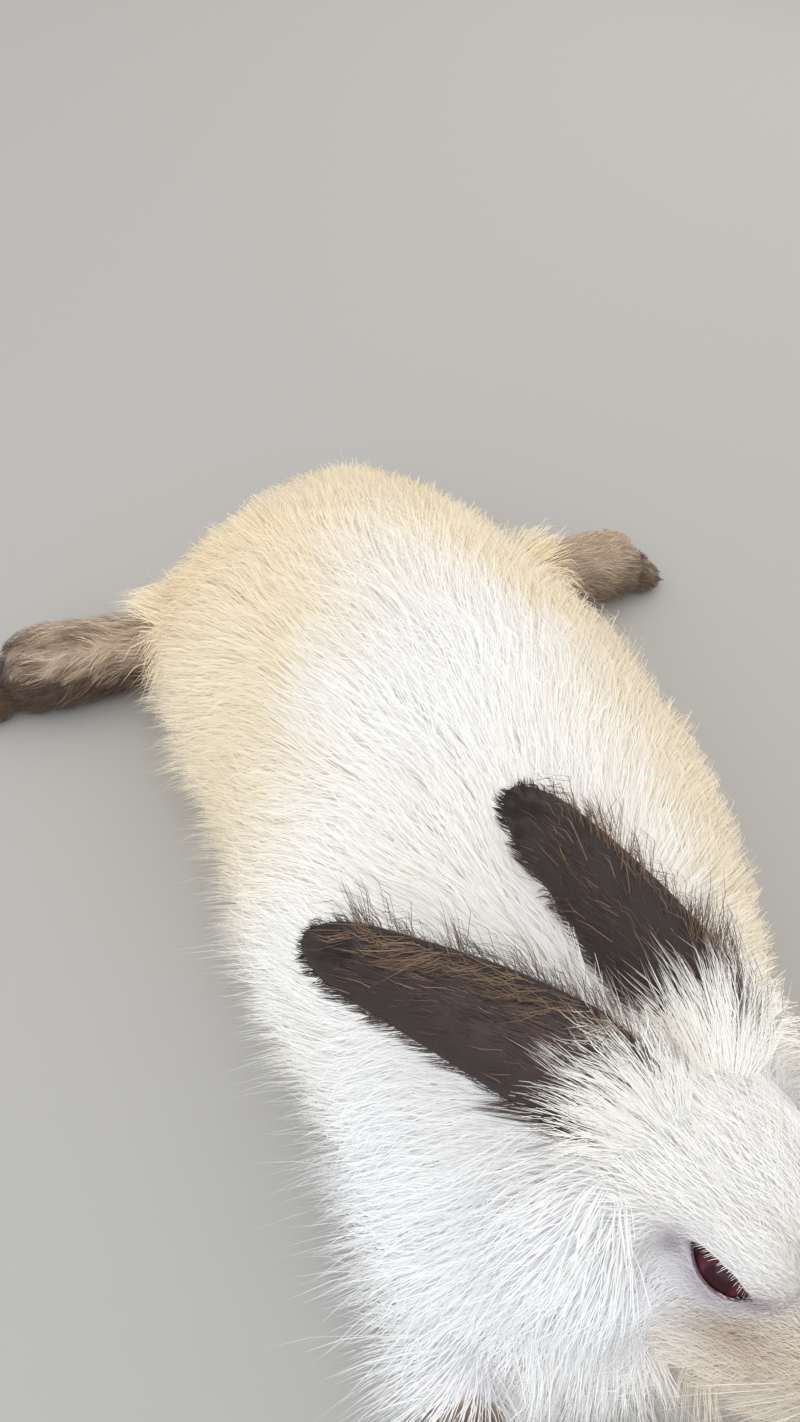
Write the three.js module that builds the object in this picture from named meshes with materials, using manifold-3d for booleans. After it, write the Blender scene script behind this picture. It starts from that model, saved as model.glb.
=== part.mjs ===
// Angora rabbit, life size, stretched out flat on its belly with the hind legs
// splayed sideways, the head turned to its left and both ears laid back.
// Millimetres, +Z up. The rabbit faces -Y, its left side is +X, and the origin
// lies on the floor under the middle of the belly.
import * as THREE from 'three';
import { mergeVertices } from 'three/addons/utils/BufferGeometryUtils.js';
import Module from 'manifold-3d';

const wasm = await Module();
wasm.setup();

// Joints between neighbouring pieces
const GAP = 0.3;
const CLEARANCE = 0.38;
const FLOOR_BOX = 1200;
const WELD = 2e-3;
const FINE_WELD = 1e-4;

// Body: distance along Y, half width, sideways shift and height over the floor
// of the coat's outer surface, from the chest to the tail
const BODY = [
  [-232, 12, 4, 22],
  [-224, 34, 2, 34],
  [-208, 60, 0, 56],
  [-186, 76, 2, 78],
  [-150, 80, 7, 100],
  [-110, 90, 7, 107],
  [-70, 99, 4, 111],
  [-30, 98, 3, 116],
  [10, 96, -2, 111],
  [50, 99, -11, 108],
  [90, 96, -16, 104],
  [130, 89, -15, 87],
  [170, 64, -6, 68],
  [205, 38, 0, 38],
  [216, 10, 4, 30],
];
const BODY_REACH = 225;
const WIDEST_LEVEL = 26;
const BELLY_DROP = 36;
const SLIM_END = { width: 32, rise: 6 };
const COAT_OVER_CORE = 17;
const BODY_SIDES = 18;
const BODY_STEPS = 22;
const NECK_END = -112;
const TORSO_END = 92;

// Thighs: cells of the body that belong to the hind legs
const THIGHS = {
  right: { centre: [-98, 98, 26], radii: [44, 58, 96] },
  left: { centre: [72, 116, 26], radii: [40, 54, 96] },
};

// Head, in a frame of its own: X to the rabbit's right, Y forward from the back
// of the skull, Z up from the floor
const HEAD_PLACE = [21, -161, 0];
const HEAD_TURN = 30;
const HEAD = [
  [-9, 22, 80, 34],
  [4, 31, 90, 20],
  [22, 37, 93, 11],
  [40, 34, 89, 7],
  [56, 29, 80, 7],
  [70, 25, 70, 9],
  [82, 20, 61, 15],
  [89, 13, 54, 24],
  [92, 5, 46, 33],
];
const CHEEK_FULLNESS = 0.07;
const HEAD_SIDES = 16;
const HEAD_STEPS = 13;

const EYE = { side: 20, along: 38, up: 66, radius: 10.5, tilt: 25 };
const LID = { length: 12.2, upper: 11, lower: 9.5, thickness: 1.4, reach: 16, segments: 5 };
const MOUTH = { depth: 3.4, gape: 2, level: 25, back: 70, front: 92, halfWidth: 16 };
const PHILTRUM = { width: 1.3, depth: 2.4, top: 40 };
const NOSTRIL = { side: 4.6, up: 43, length: 5.6, width: 2.2, tilt: 32 };
const SLOT_REACH = { before: 12, beyond: 8 };
const LIP_PAD = { side: 9, along: 80, up: 35, radii: [10, 10, 9], sides: 10 };

// Ears: middle line from inside the skull to the tip, with the way the cup opens
const EARS = {
  right: {
    line: [[12, -176, 80], [-4, -165, 93], [-27, -148, 101], [-57, -128, 105], [-84, -109, 105]],
    cup: [-0.42, -0.55, 0.72],
  },
  left: {
    line: [[31, -166, 80], [27, -150, 95], [18, -131, 104], [2, -102, 113], [-15, -74, 119]],
    cup: [0.5, 0.1, -0.85],
  },
};
const EAR_WIDTHS = [13, 17, 17.5, 14.5, 11, 9];
const EAR_THICKNESS = 3.2;
const EAR_CUP = 0.42;
const EAR_CUPPED_FROM = 0.25;
const EAR_ROUND_FROM = 0.88;
const EAR_THIN_EDGE = 0.45;
const EAR_FLAT = 0.4;
const EAR_STEPS = 9;
const EAR_LOCK = {
  count: 5, first: 0.32, apart: 0.1, reach: 0.24, spread: 0.62, opening: 0.5, lift: 8, width: 8, thick: 3,
};

// Legs: middle lines, each point with its half width and half height
const FOREPAWS = {
  right: [[-41, -188, 13, 14, 13], [-47, -210, 12, 14, 12], [-52, -236, 10, 13, 10]],
  left: [[84, -166, 13, 14, 13], [96, -186, 12, 14, 12], [107, -210, 10, 13, 10]],
};
const FORELEGS = {
  right: [[-26, -138, 17, 18, 17], [-34, -164, 15, 16, 15], [-41, -187, 13, 14, 13]],
  left: [[44, -118, 17, 18, 17], [66, -142, 15, 16, 15], [83.6, -165.2, 13, 14, 13]],
};
const HINDFEET = {
  right: [[-78, 107, 18, 19, 17], [-116, 101, 18, 21, 18], [-142, 97, 17, 20, 17], [-183, 90, 13, 15, 13]],
  left: [[62, 128, 17, 19, 16], [98, 142, 17, 19, 17], [124, 147, 17, 18, 17], [157, 155, 13, 15, 13]],
};
const LEG_SIDES = 10;
const LEG_STEPS = 7;
const TOE_SIDES = 8;
const TOE_SPREAD = [-0.66, -0.22, 0.22, 0.66];
const TOE = { length: 9, width: 0.34, height: 0.7, reach: 5, place: 0.87, sink: 0.5 };
const FOOT_ROUND_FROM = 0.72;
const BLUNT_END = 0.06;
const CROWDED = { leg: 1.4, ear: 1.6 };

// Tail: a short tuft lying on the floor behind the rump
const TAIL = { centre: [4, 206, 11], radii: [12, 21, 10] };

// Locks: half width and half thickness along each one, as shares of its own size
const LOCK_SHAPE = [
  [0, 0.6, 1],
  [0.4, 1, 1],
  [0.75, 0.78, 0.7],
];
const LOCK_BEND = { rise: 1.7, root: 3 };
const LOCK_STEP = 0.05;
const LOCK_SINK = 6;
const LOCK_LEVEL = 1.5;
const LOCK_THICKNESS = { body: 6, head: 4, tail: 4 };
const TIP_LIFT = 20;

// Low on the sides the locks fall further and stand out further
const SKIRT = { from: 0.7, fall: 20, lift: 9 };

// How far places, turns and sizes stray from lock to lock
const STRAY = { root: 7, tip: 8, turn: 4, lift: 1.5 };
const UNEVEN = 0.16;

// Rows of locks on the body: their place along it, how many, how wide, how far
// each reaches backward and how far round the side it falls
const TORSO_ROWS = [-90, -52, -14, 24, 62].map((place, index) => ({
  place, count: 8, from: -10, to: 190, stagger: index % 2, reach: 52, fall: 16, width: 40, seed: 11 + index,
}));
const RUMP_ROWS = [98, 130, 160, 184].map((place, index) => ({
  place, count: [8, 8, 6, 5][index], from: -10, to: 190, stagger: index % 2, reach: 38, fall: 18,
  width: [38, 34, 32, 26][index], seed: 31 + index,
}));
const NECK_ROWS = [-128, -158, -184].map((place, index) => ({
  place, count: 7, from: -10, to: 190, stagger: index % 2, reach: [34, 14, -6][index],
  fall: [16, 22, 24][index], width: [42, 41, 38][index], seed: 51 + index,
}));
const CHEST_ROWS = [-200, -214].map((place, index) => ({
  place, count: 5, from: 20, to: 190, stagger: index, reach: -20, fall: 8, width: [34, 27][index],
  seed: 55 + index,
}));
const UNDER_HEAD = { behind: -4, side: 30 };

// Rows of locks on the head, swept back from the brow and the cheeks
const HEAD_ROWS = [
  { place: 58, turns: [-32, 212], reach: -14, width: 12, lift: 4 },
  { place: 50, turns: [-60, -30, 210, 240], reach: -24, width: 19, lift: 10 },
  { place: 36, turns: [68, 112], reach: -20, width: 14, lift: 6 },
  { place: 31, turns: [-72, -42, -12, 192, 222, 252], reach: -28, width: 22, lift: 15 },
  { place: 17, turns: [25, 57, 90, 123, 155], reach: -24, width: 18, lift: 10 },
  { place: 11, turns: [-62, -28, 2, 178, 208, 242], reach: -28, width: 22, lift: 18 },
  { place: 0, turns: [20, 90, 160], reach: -24, width: 20, lift: 13 },
];
const HEAD_FALL = 12;

// Rows of locks on the tail
const TAIL_ROWS = { places: [60, 95], count: 4, apart: 48, stagger: 20, reach: 62, width: 17, lift: 6 };

const SEEDS = { head: 71, tail: 81, ear: { left: 91, right: 92 } };
const END_BULGE = 1.5;
const DEG = Math.PI / 180;

// A seeded draw between -1 and 1, the same on every run
function seededDraw(seed) {
  let state = seed >>> 0;
  return () => {
    state = (state + 0x6d2b79f5) >>> 0;
    let mixed = Math.imul(state ^ (state >>> 15), 1 | state);
    mixed = (mixed + Math.imul(mixed ^ (mixed >>> 7), 61 | mixed)) ^ mixed;
    return ((mixed ^ (mixed >>> 14)) >>> 0) / 2147483648 - 1;
  };
}

// Values of a table at a place between its rows, by a curve through all rows
function along(table, place) {
  const last = table.length - 1;
  let row = 0;
  while (row < last - 1 && place > table[row + 1][0]) {
    row += 1;
  }
  const [before, start, end, after] = [-1, 0, 1, 2].map(
    (step) => table[Math.min(Math.max(row + step, 0), last)],
  );
  const width = end[0] - start[0];
  const share = Math.min(Math.max((place - start[0]) / width, 0), 1);
  return start.slice(1).map((value, index) => {
    const column = index + 1;
    const slopeIn = slope(before, end, column) * width;
    const slopeOut = slope(start, after, column) * width;
    return hermite(value, end[column], slopeIn, slopeOut, share);
  });
}

function slope(from, to, column) {
  return (to[column] - from[column]) / (to[0] - from[0]);
}

function hermite(start, end, slopeIn, slopeOut, share) {
  const square = share * share;
  const cube = square * share;
  return start * (2 * cube - 3 * square + 1) + slopeIn * (cube - 2 * square + share)
    + end * (3 * square - 2 * cube) + slopeOut * (cube - square);
}

// A closed geometry through rings of points, each end closed on one point
function skinOver(rings, startPoint, endPoint) {
  const count = rings[0].length;
  const points = [startPoint, ...rings.flat(), endPoint];
  const faces = [];
  for (let side = 0; side < count; side += 1) {
    const next = (side + 1) % count;
    faces.push(0, 1 + next, 1 + side);
    for (let ring = 0; ring < rings.length - 1; ring += 1) {
      const low = 1 + ring * count;
      const high = low + count;
      faces.push(low + side, low + next, high + side);
      faces.push(low + next, high + next, high + side);
    }
    const top = 1 + (rings.length - 1) * count;
    faces.push(top + side, top + next, points.length - 1);
  }
  const geometry = new THREE.BufferGeometry();
  geometry.setAttribute('position', new THREE.Float32BufferAttribute(points.flatMap((p) => p.toArray()), 3));
  geometry.setIndex(faces);
  return geometry;
}

function signedVolume(positions, faces) {
  const corners = [0, 1, 2].map(() => new THREE.Vector3());
  let volume = 0;
  for (let face = 0; face < faces.length; face += 3) {
    corners.forEach((corner, index) => corner.fromArray(positions, faces[face + index] * 3));
    volume += corners[0].dot(corners[1].clone().cross(corners[2]));
  }
  return volume;
}

// A manifold solid from a closed geometry, with its faces turned outward
function solidOf(geometry, matrix = new THREE.Matrix4(), weld = FINE_WELD) {
  const bare = geometry.clone().applyMatrix4(matrix);
  bare.deleteAttribute('normal');
  bare.deleteAttribute('uv');
  const merged = mergeVertices(bare, weld);
  const vertProperties = Float32Array.from(merged.attributes.position.array);
  const triVerts = Uint32Array.from(merged.index.array);
  if (signedVolume(vertProperties, triVerts) < 0) {
    for (let face = 0; face < triVerts.length; face += 3) {
      [triVerts[face], triVerts[face + 1]] = [triVerts[face + 1], triVerts[face]];
    }
  }
  return new wasm.Manifold(new wasm.Mesh({ numProp: 3, vertProperties, triVerts }));
}

function joined(solids) {
  return solids.reduce((whole, solid) => whole.add(solid));
}

function withoutAll(solid, cutters) {
  return cutters.reduce((rest, cutter) => rest.subtract(cutter), solid);
}

function largest(solid) {
  const pieces = solid.decompose();
  return pieces.reduce((best, piece) => (piece.volume() > best.volume() ? piece : best));
}

// The largest closed surface, with vertices closer than WELD made one
function settled(solid) {
  return largest(solidOf(geometryOf(largest(solid)), new THREE.Matrix4(), WELD));
}

function geometryOf(solid) {
  const { vertProperties, triVerts } = solid.getMesh();
  const geometry = new THREE.BufferGeometry();
  geometry.setAttribute('position', new THREE.Float32BufferAttribute(vertProperties, 3));
  geometry.setIndex(Array.from(triVerts));
  return geometry;
}

function boxSolid(low, high) {
  const size = high.map((value, axis) => value - low[axis]);
  const centre = high.map((value, axis) => (value + low[axis]) / 2);
  const place = new THREE.Matrix4().makeTranslation(...centre);
  return solidOf(new THREE.BoxGeometry(...size), place);
}

function ellipsoidSolid(centre, radii, grow = 0, frame = new THREE.Matrix4(), sides = 12) {
  const place = new THREE.Matrix4().makeTranslation(...centre);
  place.scale(new THREE.Vector3(...radii.map((radius) => radius + grow)));
  return solidOf(new THREE.SphereGeometry(1, sides, sides * 0.6), place.premultiply(frame));
}

// Surfaces that carry locks: each gives a point for a place along and a turn
// around, the turn in degrees from the +X side over the top
function bodySurface(place, turn) {
  const [halfWidth, shift, height] = along(BODY, place);
  const inset = Math.min(COAT_OVER_CORE, halfWidth * 0.5);
  const cos = Math.cos(turn * DEG);
  const sin = Math.sin(turn * DEG);
  const drop = BELLY_DROP * Math.min(halfWidth / SLIM_END.width, 1);
  const rise = sin > 0 ? Math.max(height - inset - WIDEST_LEVEL, SLIM_END.rise) : drop;
  const ends = 1 - COAT_OVER_CORE / BODY_REACH;
  return new THREE.Vector3(shift + (halfWidth - inset) * cos, place * ends, WIDEST_LEVEL + rise * sin);
}

function headFrame() {
  const frame = new THREE.Matrix4().makeRotationZ((180 + HEAD_TURN) * DEG);
  return frame.premultiply(new THREE.Matrix4().makeTranslation(...HEAD_PLACE));
}

function headSurface(place, turn) {
  const [halfWidth, top, bottom] = along(HEAD, place);
  const middle = (top + bottom) / 2;
  const cheek = 1 + CHEEK_FULLNESS * Math.sin(2 * turn * DEG) ** 2;
  const x = halfWidth * cheek * Math.cos(turn * DEG);
  const z = middle + (top - middle) * Math.sin(turn * DEG);
  return new THREE.Vector3(x, place, z).applyMatrix4(headFrame());
}

function tailSurface(place, turn) {
  const [x, y, z] = TAIL.centre;
  const [width, length, height] = TAIL.radii;
  const ring = Math.sin(place * DEG);
  return new THREE.Vector3(
    x + width * ring * Math.cos(turn * DEG),
    y - length * Math.cos(place * DEG),
    z + height * ring * Math.sin(turn * DEG),
  );
}

function normalOf(surface, place, turn) {
  const step = 1.5;
  const lengthwise = surface(place + step, turn).sub(surface(place - step, turn));
  const around = surface(place, turn + step).sub(surface(place, turn - step));
  return lengthwise.cross(around).normalize();
}

// One flat tapered lock: rooted at a place and turn of its surface, it bends
// over and lies along it to a tip that stands off by lift
function lock(surface, root, tip, size, grow = 0) {
  const pointAt = (share) => {
    const place = root[0] + (tip[0] - root[0]) * share;
    const turn = root[1] + (tip[1] - root[1]) * share;
    const rise = size.lift * (1 - (1 - share) ** LOCK_BEND.rise);
    const offset = rise - LOCK_SINK * (1 - share) ** LOCK_BEND.root;
    const normal = normalOf(surface, place, turn);
    const point = surface(place, turn).addScaledVector(normal, offset);
    point.z = Math.max(point.z, LOCK_LEVEL);
    return { point, normal };
  };
  return solidOf(lockGeometry(pointAt, size, grow));
}

function lockGeometry(pointAt, size, grow) {
  const rings = LOCK_SHAPE.map(([share, width, thickness]) => {
    const { point, normal } = pointAt(share);
    const before = pointAt(Math.max(share - LOCK_STEP, 0)).point;
    const forward = pointAt(share + LOCK_STEP).point.sub(before).normalize();
    const side = forward.clone().cross(normal).normalize();
    const up = side.clone().cross(forward).normalize();
    const halfWidth = width * size.width / 2 + grow;
    const halfThick = thickness * size.thick / 2 + grow;
    return [
      point.clone().addScaledVector(side, halfWidth),
      point.clone().addScaledVector(up, halfThick),
      point.clone().addScaledVector(side, -halfWidth),
      point.clone().addScaledVector(up, -halfThick),
    ];
  });
  const start = pointAt(0).point;
  const tip = pointAt(1).point;
  const shoulder = pointAt(LOCK_SHAPE[LOCK_SHAPE.length - 1][0]).point;
  tip.addScaledVector(tip.clone().sub(shoulder).normalize(), grow * 2);
  return skinOver(rings, start, tip);
}

// Locks set on the torso, neck and rump, staggered from row to row and combed
// to the rear and down the sides
function bodyRow(row) {
  const draw = seededDraw(row.seed);
  const places = [];
  for (let index = 0; index < row.count; index += 1) {
    const share = (index + 0.5 + row.stagger * 0.5) / row.count;
    const turn = row.from + (row.to - row.from) * share + draw() * STRAY.turn;
    const down = Math.cos(turn * DEG);
    const skirt = Math.max(Math.abs(down) - SKIRT.from, 0) / (1 - SKIRT.from);
    const fall = row.fall + SKIRT.fall * skirt;
    const lift = TIP_LIFT + SKIRT.lift * skirt + STRAY.lift * draw();
    places.push({
      root: [row.place + draw() * STRAY.root, turn],
      tip: [row.place + row.reach + draw() * STRAY.tip, turn - fall * down + draw() * STRAY.turn],
      size: { width: row.width * (1 + UNEVEN * draw()), thick: LOCK_THICKNESS.body, lift },
    });
  }
  return places;
}

function locksOn(surface, places, grow) {
  return places.map(({ root, tip, size }) => lock(surface, root, tip, size, grow));
}

// Whether a place on the body lies in the cell of one thigh
function inThigh(side, place, turn) {
  const { centre, radii } = THIGHS[side];
  const point = bodySurface(place, turn);
  const offsets = point.toArray().map((value, axis) => (value - centre[axis]) / radii[axis]);
  return Math.hypot(...offsets) < 1;
}

// A closed core through the rings of a surface, moved out by grow, or in if negative
function coreOf(surface, table, steps, sides, grow) {
  const rings = stepsAlong(table, steps).map((place) => {
    const ring = ringOf(surface, place, sides);
    const middle = middleOf(ring);
    return ring.map((point) => pushedFrom(middle, point, grow));
  });
  const start = middleOf(rings[0]);
  const end = middleOf(rings[steps]);
  const forward = end.clone().sub(start).normalize();
  start.addScaledVector(forward, -END_BULGE - grow);
  end.addScaledVector(forward, END_BULGE + grow);
  return solidOf(skinOver(rings, start, end));
}

function bodyCore(grow) {
  return coreOf(bodySurface, BODY, BODY_STEPS, BODY_SIDES, grow);
}

// Places along a table, closer together near its two ends
function stepsAlong(table, steps) {
  const first = table[0][0];
  const length = table[table.length - 1][0] - first;
  return Array.from({ length: steps + 1 }, (_, step) => {
    const share = step / steps;
    return first + length * (0.6 * share + 0.2 * (1 - Math.cos(Math.PI * share)));
  });
}

function ringOf(surface, place, sides) {
  return Array.from({ length: sides }, (_, side) => surface(place, 360 * side / sides));
}

function middleOf(ring) {
  return ring.reduce((sum, point) => sum.add(point), new THREE.Vector3()).divideScalar(ring.length);
}

function headCore(grow) {
  return coreOf(headSurface, HEAD, HEAD_STEPS, HEAD_SIDES, grow);
}

function pushedFrom(middle, point, grow) {
  const away = point.clone().sub(middle);
  return middle.clone().add(away.setLength(away.length() + grow));
}

function curveOf(line) {
  return new THREE.CatmullRomCurve3(line.map(([x, y, z]) => new THREE.Vector3(x, y, z)));
}

// How full a rounded end is: 1 up to the start of the rounding, small at the end
function fullness(share, start) {
  return Math.sqrt(Math.max(1 - (Math.max(share - start, 0) / (1 - start)) ** 2, BLUNT_END));
}

// A leg as a limb along its middle line, cut square at its root
function limb(line, grow, roundFrom = 1) {
  const curve = curveOf(line);
  const table = line.map(([, , , width, height], index) => [index / (line.length - 1), width, height]);
  const rings = [];
  for (let step = 0; step <= LEG_STEPS; step += 1) {
    const share = 1 - (1 - step / LEG_STEPS) ** CROWDED.leg;
    const forward = curve.getTangent(share);
    const side = new THREE.Vector3(-forward.y, forward.x, 0).normalize();
    const up = forward.clone().cross(side).normalize();
    const full = roundFrom < 1 ? fullness(share, roundFrom) : 1;
    const [width, height] = along(table, share).map((value) => value * full + grow);
    rings.push(Array.from({ length: LEG_SIDES }, (_, index) => {
      const turn = 2 * Math.PI * index / LEG_SIDES;
      return curve.getPoint(share)
        .addScaledVector(side, width * Math.cos(turn))
        .addScaledVector(up, height * Math.sin(turn));
    }));
  }
  const first = rings[0].map((point) => point.addScaledVector(curve.getTangent(0), -grow));
  const end = curve.getPoint(1).addScaledVector(curve.getTangent(1), grow);
  return solidOf(skinOver(rings, middleOf(first), end));
}

// A foot: a limb with a rounded end and four toes
function foot(line, grow) {
  const curve = curveOf(line);
  const tip = curve.getPoint(TOE.place);
  const forward = curve.getTangent(1);
  const [, , , width, height] = line[line.length - 1];
  const turned = new THREE.Matrix4().makeRotationZ(Math.atan2(forward.y, forward.x));
  turned.premultiply(new THREE.Matrix4().makeTranslation(tip.x, tip.y, 0));
  const toes = TOE_SPREAD.map((spread) => {
    const reach = TOE.reach * (1 - Math.abs(spread));
    const radii = [TOE.length, TOE.width * width, TOE.height * height];
    const up = TOE.height * height - TOE.sink;
    return ellipsoidSolid([reach, spread * width, up], radii, grow, turned, TOE_SIDES);
  });
  return [limb(line, grow, FOOT_ROUND_FROM), ...toes];
}

// A cupped ear: a shell curled toward the way its cup opens, round at the tip
function earShell(ear, grow = 0) {
  const curve = curveOf(ear.line);
  const table = EAR_WIDTHS.map((width, index) => [index / (EAR_WIDTHS.length - 1), width]);
  const across = [-1, -0.5, 0, 0.5, 1];
  const rings = [];
  for (let step = 0; step <= EAR_STEPS; step += 1) {
    const share = 1 - (1 - step / EAR_STEPS) ** CROWDED.ear;
    const forward = curve.getTangent(share);
    const side = forward.clone().cross(new THREE.Vector3(...ear.cup)).normalize();
    const open = side.clone().cross(forward).normalize();
    const halfWidth = along(table, share)[0] * fullness(share, EAR_ROUND_FROM);
    const cup = EAR_CUP * Math.min(share / EAR_CUPPED_FROM, 1);
    const face = (offset) => across.map((part) => {
      const curl = cup * halfWidth * (part * part - EAR_FLAT);
      return curve.getPoint(share)
        .addScaledVector(side, part * (halfWidth + grow))
        .addScaledVector(open, curl + offset * (1 - EAR_THIN_EDGE * part * part));
    });
    const half = EAR_THICKNESS / 2 + grow * 1.4;
    rings.push([...face(half), ...face(-half).reverse()]);
  }
  rings[0].forEach((point) => point.addScaledVector(curve.getTangent(0), -grow));
  const start = middleOf(rings[0]);
  const end = middleOf(rings[EAR_STEPS]).addScaledVector(curve.getTangent(1), 1 + grow);
  return solidOf(skinOver(rings, start, end));
}

// Streaming hair along both edges and the back of an ear
function earLocks(ear, seed, grow) {
  const draw = seededDraw(seed);
  const curve = curveOf(ear.line);
  const cup = new THREE.Vector3(...ear.cup);
  const table = EAR_WIDTHS.map((width, index) => [index / (EAR_WIDTHS.length - 1), width]);
  const solids = [];
  for (let index = 0; index < EAR_LOCK.count; index += 1) {
    const edge = index % 2 ? 1 : -1;
    const from = EAR_LOCK.first + EAR_LOCK.apart * index;
    const to = from + EAR_LOCK.reach * (1 + UNEVEN * draw());
    const spread = EAR_LOCK.spread * (1 + 1.5 * UNEVEN * draw());
    const pointAt = (share) => {
      const place = Math.min(from + (to - from) * share, 1.02);
      const forward = curve.getTangent(Math.min(place, 1));
      const side = forward.clone().cross(cup).normalize();
      const open = side.clone().cross(forward).normalize();
      const halfWidth = along(table, place)[0];
      const reach = edge * halfWidth * (spread + EAR_LOCK.opening * share);
      const curl = EAR_CUP * halfWidth * (spread * spread - EAR_FLAT);
      const point = curve.getPoint(Math.min(place, 1))
        .addScaledVector(side, reach)
        .addScaledVector(open, curl + Math.sign(open.z) * EAR_LOCK.lift * share);
      return { point, normal: open };
    };
    solids.push(solidOf(lockGeometry(pointAt, EAR_LOCK, grow)));
  }
  return solids;
}

// Whole head: skull, lips, lids and locks, with the eyes, mouth line and
// nostrils still to be cut
function headPieces(grow) {
  const lips = [-1, 1].map((mirror) => {
    const place = [mirror * LIP_PAD.side, LIP_PAD.along, LIP_PAD.up];
    return ellipsoidSolid(place, LIP_PAD.radii, grow, headFrame(), LIP_PAD.sides);
  });
  const lids = [-1, 1].map((mirror) => {
    const reach = EYE.radius + GAP + LID.thickness + grow;
    return ellipsoidSolid(eyePlace(mirror), [reach, reach, reach], 0, headFrame());
  });
  return [headCore(grow), ...lips, ...lids, ...locksOn(headSurface, headLocks(), grow)];
}

function eyePlace(mirror) {
  return [mirror * EYE.side, EYE.along, EYE.up];
}

function eyeBall(mirror, grow = 0) {
  const radius = EYE.radius;
  return ellipsoidSolid(eyePlace(mirror), [radius, radius, radius], grow, headFrame());
}

// The almond opening between the lids, as a block that runs outward and a little
// upward from the middle of the eye
function lidOpening(mirror) {
  const almond = new THREE.Shape();
  almond.moveTo(-LID.length, 0);
  almond.quadraticCurveTo(0, LID.upper, LID.length, 0);
  almond.quadraticCurveTo(0, -LID.lower, -LID.length, 0);
  const drawn = { depth: LID.reach, bevelEnabled: false, curveSegments: LID.segments };
  const block = new THREE.ExtrudeGeometry(almond, drawn);
  const place = new THREE.Matrix4().makeTranslation(...eyePlace(mirror));
  const turned = new THREE.Matrix4().makeRotationY(-mirror * EYE.tilt * DEG);
  turned.multiply(new THREE.Matrix4().makeRotationZ(mirror * 90 * DEG));
  turned.multiply(new THREE.Matrix4().makeRotationX(90 * DEG));
  return solidOf(block, headFrame().multiply(place).multiply(turned));
}

// Slots no deeper than depth under the skin of the head
function slot(low, high, depth, tilt = 0) {
  const size = high.map((value, axis) => value - low[axis]);
  const centre = high.map((value, axis) => (value + low[axis]) / 2);
  const place = new THREE.Matrix4().makeTranslation(...centre);
  place.multiply(new THREE.Matrix4().makeRotationY(tilt * DEG));
  const block = solidOf(new THREE.BoxGeometry(...size), headFrame().multiply(place));
  return block.subtract(headCore(-depth));
}

function faceSlots() {
  const { level, gape, back, front, halfWidth, depth } = MOUTH;
  const start = front - SLOT_REACH.before;
  const end = front + SLOT_REACH.beyond;
  const mouth = slot([-halfWidth, back, level - gape / 2], [halfWidth, end, level + gape / 2], depth);
  const half = PHILTRUM.width / 2;
  const cleft = slot([-half, start, level], [half, end, PHILTRUM.top], PHILTRUM.depth);
  const nostrils = [-1, 1].map((mirror) => {
    const x = mirror * NOSTRIL.side;
    const low = [x - NOSTRIL.length / 2, start, NOSTRIL.up - NOSTRIL.width / 2];
    const high = [x + NOSTRIL.length / 2, end, NOSTRIL.up + NOSTRIL.width / 2];
    return slot(low, high, PHILTRUM.depth, mirror * -NOSTRIL.tilt);
  });
  return [mouth, cleft, ...nostrils];
}

function headLocks() {
  const draw = seededDraw(SEEDS.head);
  return HEAD_ROWS.flatMap(({ place, turns, reach, width, lift }) => turns.map((turn) => {
    const fall = HEAD_FALL * Math.cos(turn * DEG);
    return {
      root: [place + STRAY.turn * draw(), turn + STRAY.turn * draw()],
      tip: [place + reach * (1 + UNEVEN * draw()), turn - fall + STRAY.turn * draw()],
      size: {
        width: width * (1 + UNEVEN * draw()),
        thick: LOCK_THICKNESS.head,
        lift: lift * (1 + UNEVEN * draw()),
      },
    };
  }));
}

function tailLocks() {
  const draw = seededDraw(SEEDS.tail);
  const { places, count, apart, stagger, reach, width, lift } = TAIL_ROWS;
  return places.flatMap((place, row) => Array.from({ length: count }, (_, index) => {
    const turn = apart * index + row * stagger;
    return {
      root: [place + STRAY.turn * draw(), turn],
      tip: [place + reach + STRAY.turn * draw(), turn + STRAY.turn * draw()],
      size: { width: width * (1 + UNEVEN * draw()), thick: LOCK_THICKNESS.tail, lift: lift + draw() },
    };
  }));
}

function cell(side, grow) {
  const { centre, radii } = THIGHS[side];
  return ellipsoidSolid(centre, radii, grow);
}

function rowsOutside(rows, keep) {
  return rows.flatMap(bodyRow).filter(({ root }) => keep(...root));
}

function ahead(end) {
  return boxSolid([-FLOOR_BOX, -FLOOR_BOX, -FLOOR_BOX], [FLOOR_BOX, end, FLOOR_BOX]);
}

function hindLegPieces(side, grow) {
  const rooted = rowsOutside([...TORSO_ROWS, ...RUMP_ROWS], (place, turn) => inThigh(side, place, turn));
  return [bodyCore(grow).intersect(cell(side, grow)), ...locksOn(bodySurface, rooted, grow)];
}

function torsoPieces(grow) {
  const free = (place, turn) => !inThigh('left', place, turn) && !inThigh('right', place, turn);
  const cells = ['left', 'right'].map((side) => cell(side, -grow));
  const core = withoutAll(bodyCore(grow).intersect(ahead(TORSO_END + grow)), cells);
  return [core, ...locksOn(bodySurface, rowsOutside(TORSO_ROWS, free), grow)];
}

function rumpPieces(grow) {
  const free = (place, turn) => !inThigh('left', place, turn) && !inThigh('right', place, turn);
  return [bodyCore(grow), ...locksOn(bodySurface, rowsOutside(RUMP_ROWS, free), grow)];
}

// Whether a place on the neck lies clear of the head and of what the head hides
function outsideHead(place, turn) {
  const inHead = bodySurface(place, turn).applyMatrix4(headFrame().invert());
  return inHead.y < UNDER_HEAD.behind || Math.abs(inHead.x) > UNDER_HEAD.side;
}

function neckPieces(grow) {
  const core = bodyCore(grow).intersect(ahead(NECK_END + grow));
  return [core, ...locksOn(bodySurface, rowsOutside([...NECK_ROWS, ...CHEST_ROWS], outsideHead), grow)];
}

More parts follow.
